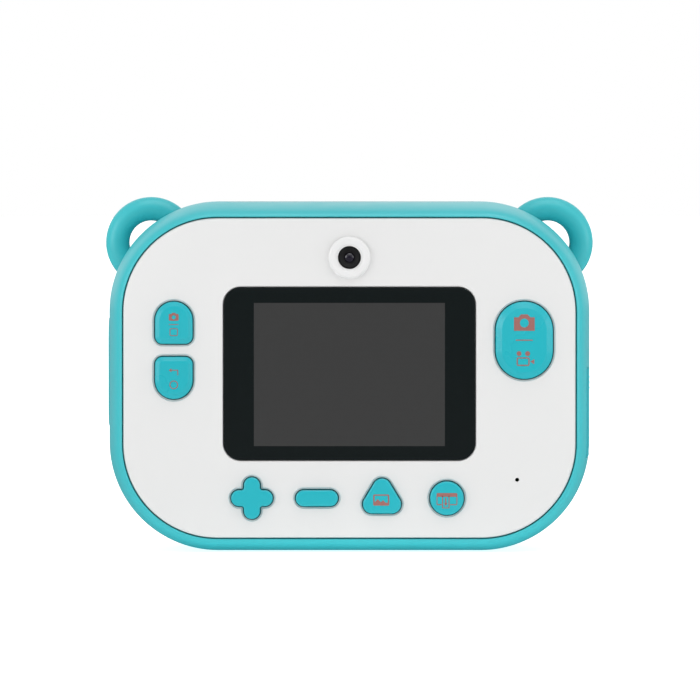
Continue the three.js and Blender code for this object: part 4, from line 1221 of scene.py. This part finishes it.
def metal(name, colour, rough, brush=1500.0, depth=0.000004):
    material, tree, node, coordinates = shader(name, rough, 1.0)
    surface = tree.nodes.new("ShaderNodeGroup")
    surface.node_tree = WORKED_METAL
    surface.inputs["Brush size"].default_value = brush
    tree.links.new(coordinates, surface.inputs["Vector"])
    dull = tuple(c * 0.85 for c in colour)
    tree.links.new(mix_colour(tree, surface.outputs["Brush"], dull, colour), node.inputs["Base Color"])
    brushed = ramp(tree, surface.outputs["Brush"], 0, 1, rough * 0.75, rough * 1.3)
    tree.links.new(brushed, node.inputs["Roughness"])
    bump(tree, node, surface.outputs["Height"], depth)
    return material


STEEL = metal("nickel-plated steel", (0.56, 0.57, 0.58), 0.26)
ALUMINIUM = metal("anodised aluminium", (0.66, 0.68, 0.7), 0.4, 2600.0)
print("metals:", STEEL.name, "and", ALUMINIUM.name)

# %% [markdown]
# A circuit board's green lacquer lies over copper tracks, which show as slightly raised, lighter lines.
# Voronoi cells measured as blocks give right-angled runs like tracks. The paper is thermal paper: smooth, a
# little fibrous, with the edges of its wound layers showing on the roll's ends.

# %% Board, paper and battery finishes
def board_finish():
    material, tree, node, coordinates = shader("green circuit board", 0.34)
    cells = tree.nodes.new("ShaderNodeTexVoronoi")
    cells.distance = "CHEBYCHEV"
    cells.feature = "F2"
    cells.inputs["Scale"].default_value = 260.0
    tree.links.new(coordinates, cells.inputs["Vector"])
    tracks = math_node(tree, "MULTIPLY", ramp(tree, cells.outputs["Distance"], 0.42, 0.44), ramp(
        tree, cells.outputs["Distance"], 0.52, 0.5))
    pads = tree.nodes.new("ShaderNodeTexVoronoi")
    pads.inputs["Scale"].default_value = 190.0
    tree.links.new(coordinates, pads.inputs["Vector"])
    vias = ramp(tree, pads.outputs["Distance"], 0.12, 0.1)
    green = mix_colour(tree, tracks, (0.012, 0.105, 0.05), (0.02, 0.17, 0.075))
    tree.links.new(mix_colour(tree, vias, green, (0.55, 0.56, 0.52)), node.inputs["Base Color"])
    tree.links.new(vias, node.inputs["Metallic"])
    bump(tree, node, math_node(tree, "ADD", tracks, vias), 0.00003)
    return material


def paper_finish(name, colour, roll_axis=None):
    """Thermal paper. roll_axis is the (y, z) that the layers are wound round, in millimetres."""
    material, tree, node, coordinates = shader(name, 0.62)
    fibres = noise(tree, coordinates, 1400, 5, 0.7)
    shade = ramp(tree, fibres, 0.3, 0.7, 0.0, 1.0)
    paper = mix_colour(tree, shade, tuple(c * 0.97 for c in colour), colour)
    height = fibres
    if roll_axis:
        place = tree.nodes.new("ShaderNodeMapping")
        place.inputs["Location"].default_value = (0, -roll_axis[0] * MM, -roll_axis[1] * MM)
        tree.links.new(coordinates, place.inputs["Vector"])
        layers = tree.nodes.new("ShaderNodeTexWave")
        layers.wave_type = "RINGS"
        layers.rings_direction = "X"
        layers.inputs["Scale"].default_value = 900.0
        layers.inputs["Distortion"].default_value = 0.4
        tree.links.new(place.outputs["Vector"], layers.inputs["Vector"])
        paper = mix_colour(tree, ramp(tree, layers.outputs["Fac"], 0, 1, 0.0, 0.5), paper, (0.55, 0.54, 0.5))
        height = layers.outputs["Fac"]
    tree.links.new(paper, node.inputs["Base Color"])
    bump(tree, node, height, 0.00001)
    return material


def wrap_finish():
    """Crinkled laminated foil, as round a flat lithium cell."""
    material, tree, node, coordinates = shader("battery foil", 0.3, 0.85)
    creases = noise(tree, coordinates, 120, 6, 0.6)
    tree.links.new(mix_colour(tree, creases, (0.5, 0.52, 0.55), (0.66, 0.68, 0.7)), node.inputs["Base Color"])
    tree.links.new(ramp(tree, creases, 0.3, 0.7, 0.25, 0.42), node.inputs["Roughness"])
    bump(tree, node, creases, 0.0002)
    return material


BOARD = board_finish()
ROLL = span("paper_roll")
PAPER = paper_finish("thermal paper", (0.86, 0.85, 0.82))
WOUND_PAPER = paper_finish("wound thermal paper", (0.86, 0.85, 0.82), (ROLL[2].y, ROLL[2].z))
WRAP = wrap_finish()
DISPLAY = window_finish("display module")
print("finishes so far:", len(bpy.data.materials))

# %% [markdown]
# The roll is turned about its own axis: rounded outer edges, flat ends and a tube in the middle that is a
# little shorter than the paper is wide.

# %% Wind the paper roll
def turned_across(name, y, z, points, step=FINE):
    """A lathe piece about a line along X. Its points are [radius, x]."""
    return stand_up(turned(name, y, z, points, step), "X")


end, soft = ROLL[1].x, 0.3
tube_end, tube_r, bore_r = end - 0.8, 7.4, 6.3
roll_r = (ROLL[1].z - ROLL[0].z) / 2
paper_roll = turned_across("wound_roll", ROLL[2].y, ROLL[2].z, [
    (tube_r, -end), (roll_r - soft, -end), (roll_r, soft - end), (roll_r, end - soft), (roll_r - soft, end),
    (tube_r, end), (tube_r, tube_end), (bore_r, tube_end), (bore_r, -tube_end), (tube_r, -tube_end)], 5)
dress(smooth(paper_roll, 40), WOUND_PAPER, "paper_roll")

# %% [markdown]
# Every CAD node that still shows takes the finish of its slot in the record.

# %% Finishes for the pieces kept from the CAD model
FINISH_OF = {
    "teal_plastic": TEAL_CASE, "key_plastic": TEAL_KEY, "white_plastic": WHITE_TRIM,
    "window_plastic": DISPLAY, "black_plastic": DARK_PLASTIC, "ivory_plastic": IVORY, "gear_plastic": ACETAL,
    "display_glass": DISPLAY, "circuit_board": BOARD, "gasket_foam": FOAM, "cover_rubber": RUBBER,
    "platen_rubber": PLATEN, "paper": PAPER, "battery_wrap": WRAP, "bare_steel": STEEL,
    "head_aluminium": ALUMINIUM,
}
kept = [node for node, obj in frame["nodes"].items() if not obj.hide_render]
for node in kept:
    frame["nodes"][node].material_slots[0].material = FINISH_OF[SLOT_OF[node]]
print(len(kept), "CAD nodes kept:", ", ".join(kept))

# %% [markdown]
# ## Camera and light
# The view is from straight behind, a little above, through a long lens, so that little perspective shows.
# The lens length follows from the distance and from the width that the picture takes in.

# %% Place the viewer
VIEW_UP = 1.7  # degrees above the horizon
DISTANCE = 2200.0
SEEN_WIDTH = 179.4  # millimetres across the picture, at the rear face
AIM_RIGHT, AIM_UP = 0.15, 7.2  # the picture's middle, from the middle of the case

fresh()
target = Vector((AIM_RIGHT, REAR_FACE, CASE_Z + AIM_UP))
tilt = math.radians(VIEW_UP)
bpy.ops.object.camera_add(
    location=(target + Vector((0, -math.cos(tilt), math.sin(tilt))) * DISTANCE) * MM,
    rotation=(math.pi / 2 - tilt, 0, 0),
)
viewer = bpy.context.object
viewer.data.lens = viewer.data.sensor_width * DISTANCE / SEEN_WIDTH
viewer.data.clip_start, viewer.data.clip_end = 0.05, 50
bpy.context.scene.camera = viewer
bpy.context.scene.view_settings.view_transform = "Standard"
print("lens", round(viewer.data.lens), "mm, at", DISTANCE, "mm")

# %% [markdown]
# The floor is pale and glows a little, as a light table does, most of all right under the camera, which
# keeps its underside bright. What shows in polished surfaces is kept darker, so that the black window stays
# black.

# %% Lay the floor
GLOW, GLOW_UNDER, GLOW_SEEN = 0.42, 0.6, 0.78  # at large, under the camera, and as it looks to the viewer
NARROW = 0.45  # the bright patch's depth over its length, as the camera's own
PATCH, PATCH_END = 0.028, 0.045

bpy.ops.mesh.primitive_plane_add(size=12, location=(0, 0, 0))
floor = bpy.context.object
floor.name = "studio_floor"
floor_finish, floor_tree, paint, floor_place = shader("studio floor", 0.9)
paint.inputs["Emission Color"].default_value = (1, 1, 1, 1)
sight = floor_tree.nodes.new("ShaderNodeLightPath").outputs
footprint = floor_tree.nodes.new("ShaderNodeMapping")
footprint.inputs["Scale"].default_value = (NARROW, 1, 1)
floor_tree.links.new(floor_place, footprint.inputs["Vector"])
away = floor_tree.nodes.new("ShaderNodeVectorMath")
away.operation = "LENGTH"
floor_tree.links.new(footprint.outputs["Vector"], away.inputs[0])
under = ramp(floor_tree, away.outputs["Value"], PATCH, PATCH_END, GLOW_UNDER, GLOW)
matt = math_node(floor_tree, "SUBTRACT", 1.0, sight["Is Glossy Ray"])
glow = math_node(floor_tree, "MULTIPLY", matt, under)
seen_glow = math_node(floor_tree, "MULTIPLY", sight["Is Camera Ray"], GLOW_SEEN)
floor_tree.links.new(math_node(floor_tree, "MAXIMUM", glow, seen_glow), paint.inputs["Emission Strength"])
mirrored = mix_colour(floor_tree, sight["Is Glossy Ray"], (0.85, 0.85, 0.85), (0.15, 0.15, 0.15))
floor_tree.links.new(mirrored, paint.inputs["Base Color"])
floor.data.materials.append(floor_finish)
print("floor glow", GLOW, "and", GLOW_UNDER, "underneath")

# %% [markdown]
# The surround is brighter overhead than at the horizon, dark straight behind the viewer, so that the window
# doesn't mirror it, and bright beyond the object, so that its outer edges pick up pale rims. The viewer
# sees it plain white. A wide softbox overhead and one at each side do the rest.

# %% Light the studio
world = bpy.data.worlds.new("studio")
bpy.context.scene.world = world
world.use_nodes = True
room = world.node_tree
surround = room.nodes["Background"]
surround.inputs["Color"].default_value = (1, 1, 1, 1)
facing = room.nodes.new("ShaderNodeSeparateXYZ")
room.links.new(room.nodes.new("ShaderNodeTexCoord").outputs["Generated"], facing.inputs["Vector"])
overhead = ramp(room, facing.outputs["Z"], -0.1, 0.9, 0.345, 0.64)
in_front = ramp(room, facing.outputs["Y"], -1.0, -0.9, 0.1, 1.0)
behind = ramp(room, facing.outputs["Y"], 0.5, 1.0, 1.0, 2.4)
light = math_node(room, "MULTIPLY", math_node(room, "MULTIPLY", overhead, in_front), behind)
seen = room.nodes.new("ShaderNodeLightPath").outputs["Is Camera Ray"]
room.links.new(math_node(room, "MAXIMUM", light, seen), surround.inputs["Strength"])


def softbox(name, at, size, power):
    """An area light that faces the camera body."""
    fresh()
    bpy.ops.object.light_add(type="AREA", location=Vector(at))
    lamp = bpy.context.object
    lamp.name = name
    lamp.data.size = size
    lamp.data.energy = power
    aim = Vector((0, 0, CASE_Z * MM)) - lamp.location
    lamp.rotation_euler = aim.to_track_quat("-Z", "Y").to_euler()


softbox("overhead softbox", (0.1, -0.35, 1.1), 0.9, 4.4)
softbox("left softbox", (-1.1, -0.7, 0.35), 0.7, 4.2)
softbox("right softbox", (1.2, -0.5, 0.3), 0.7, 3.2)
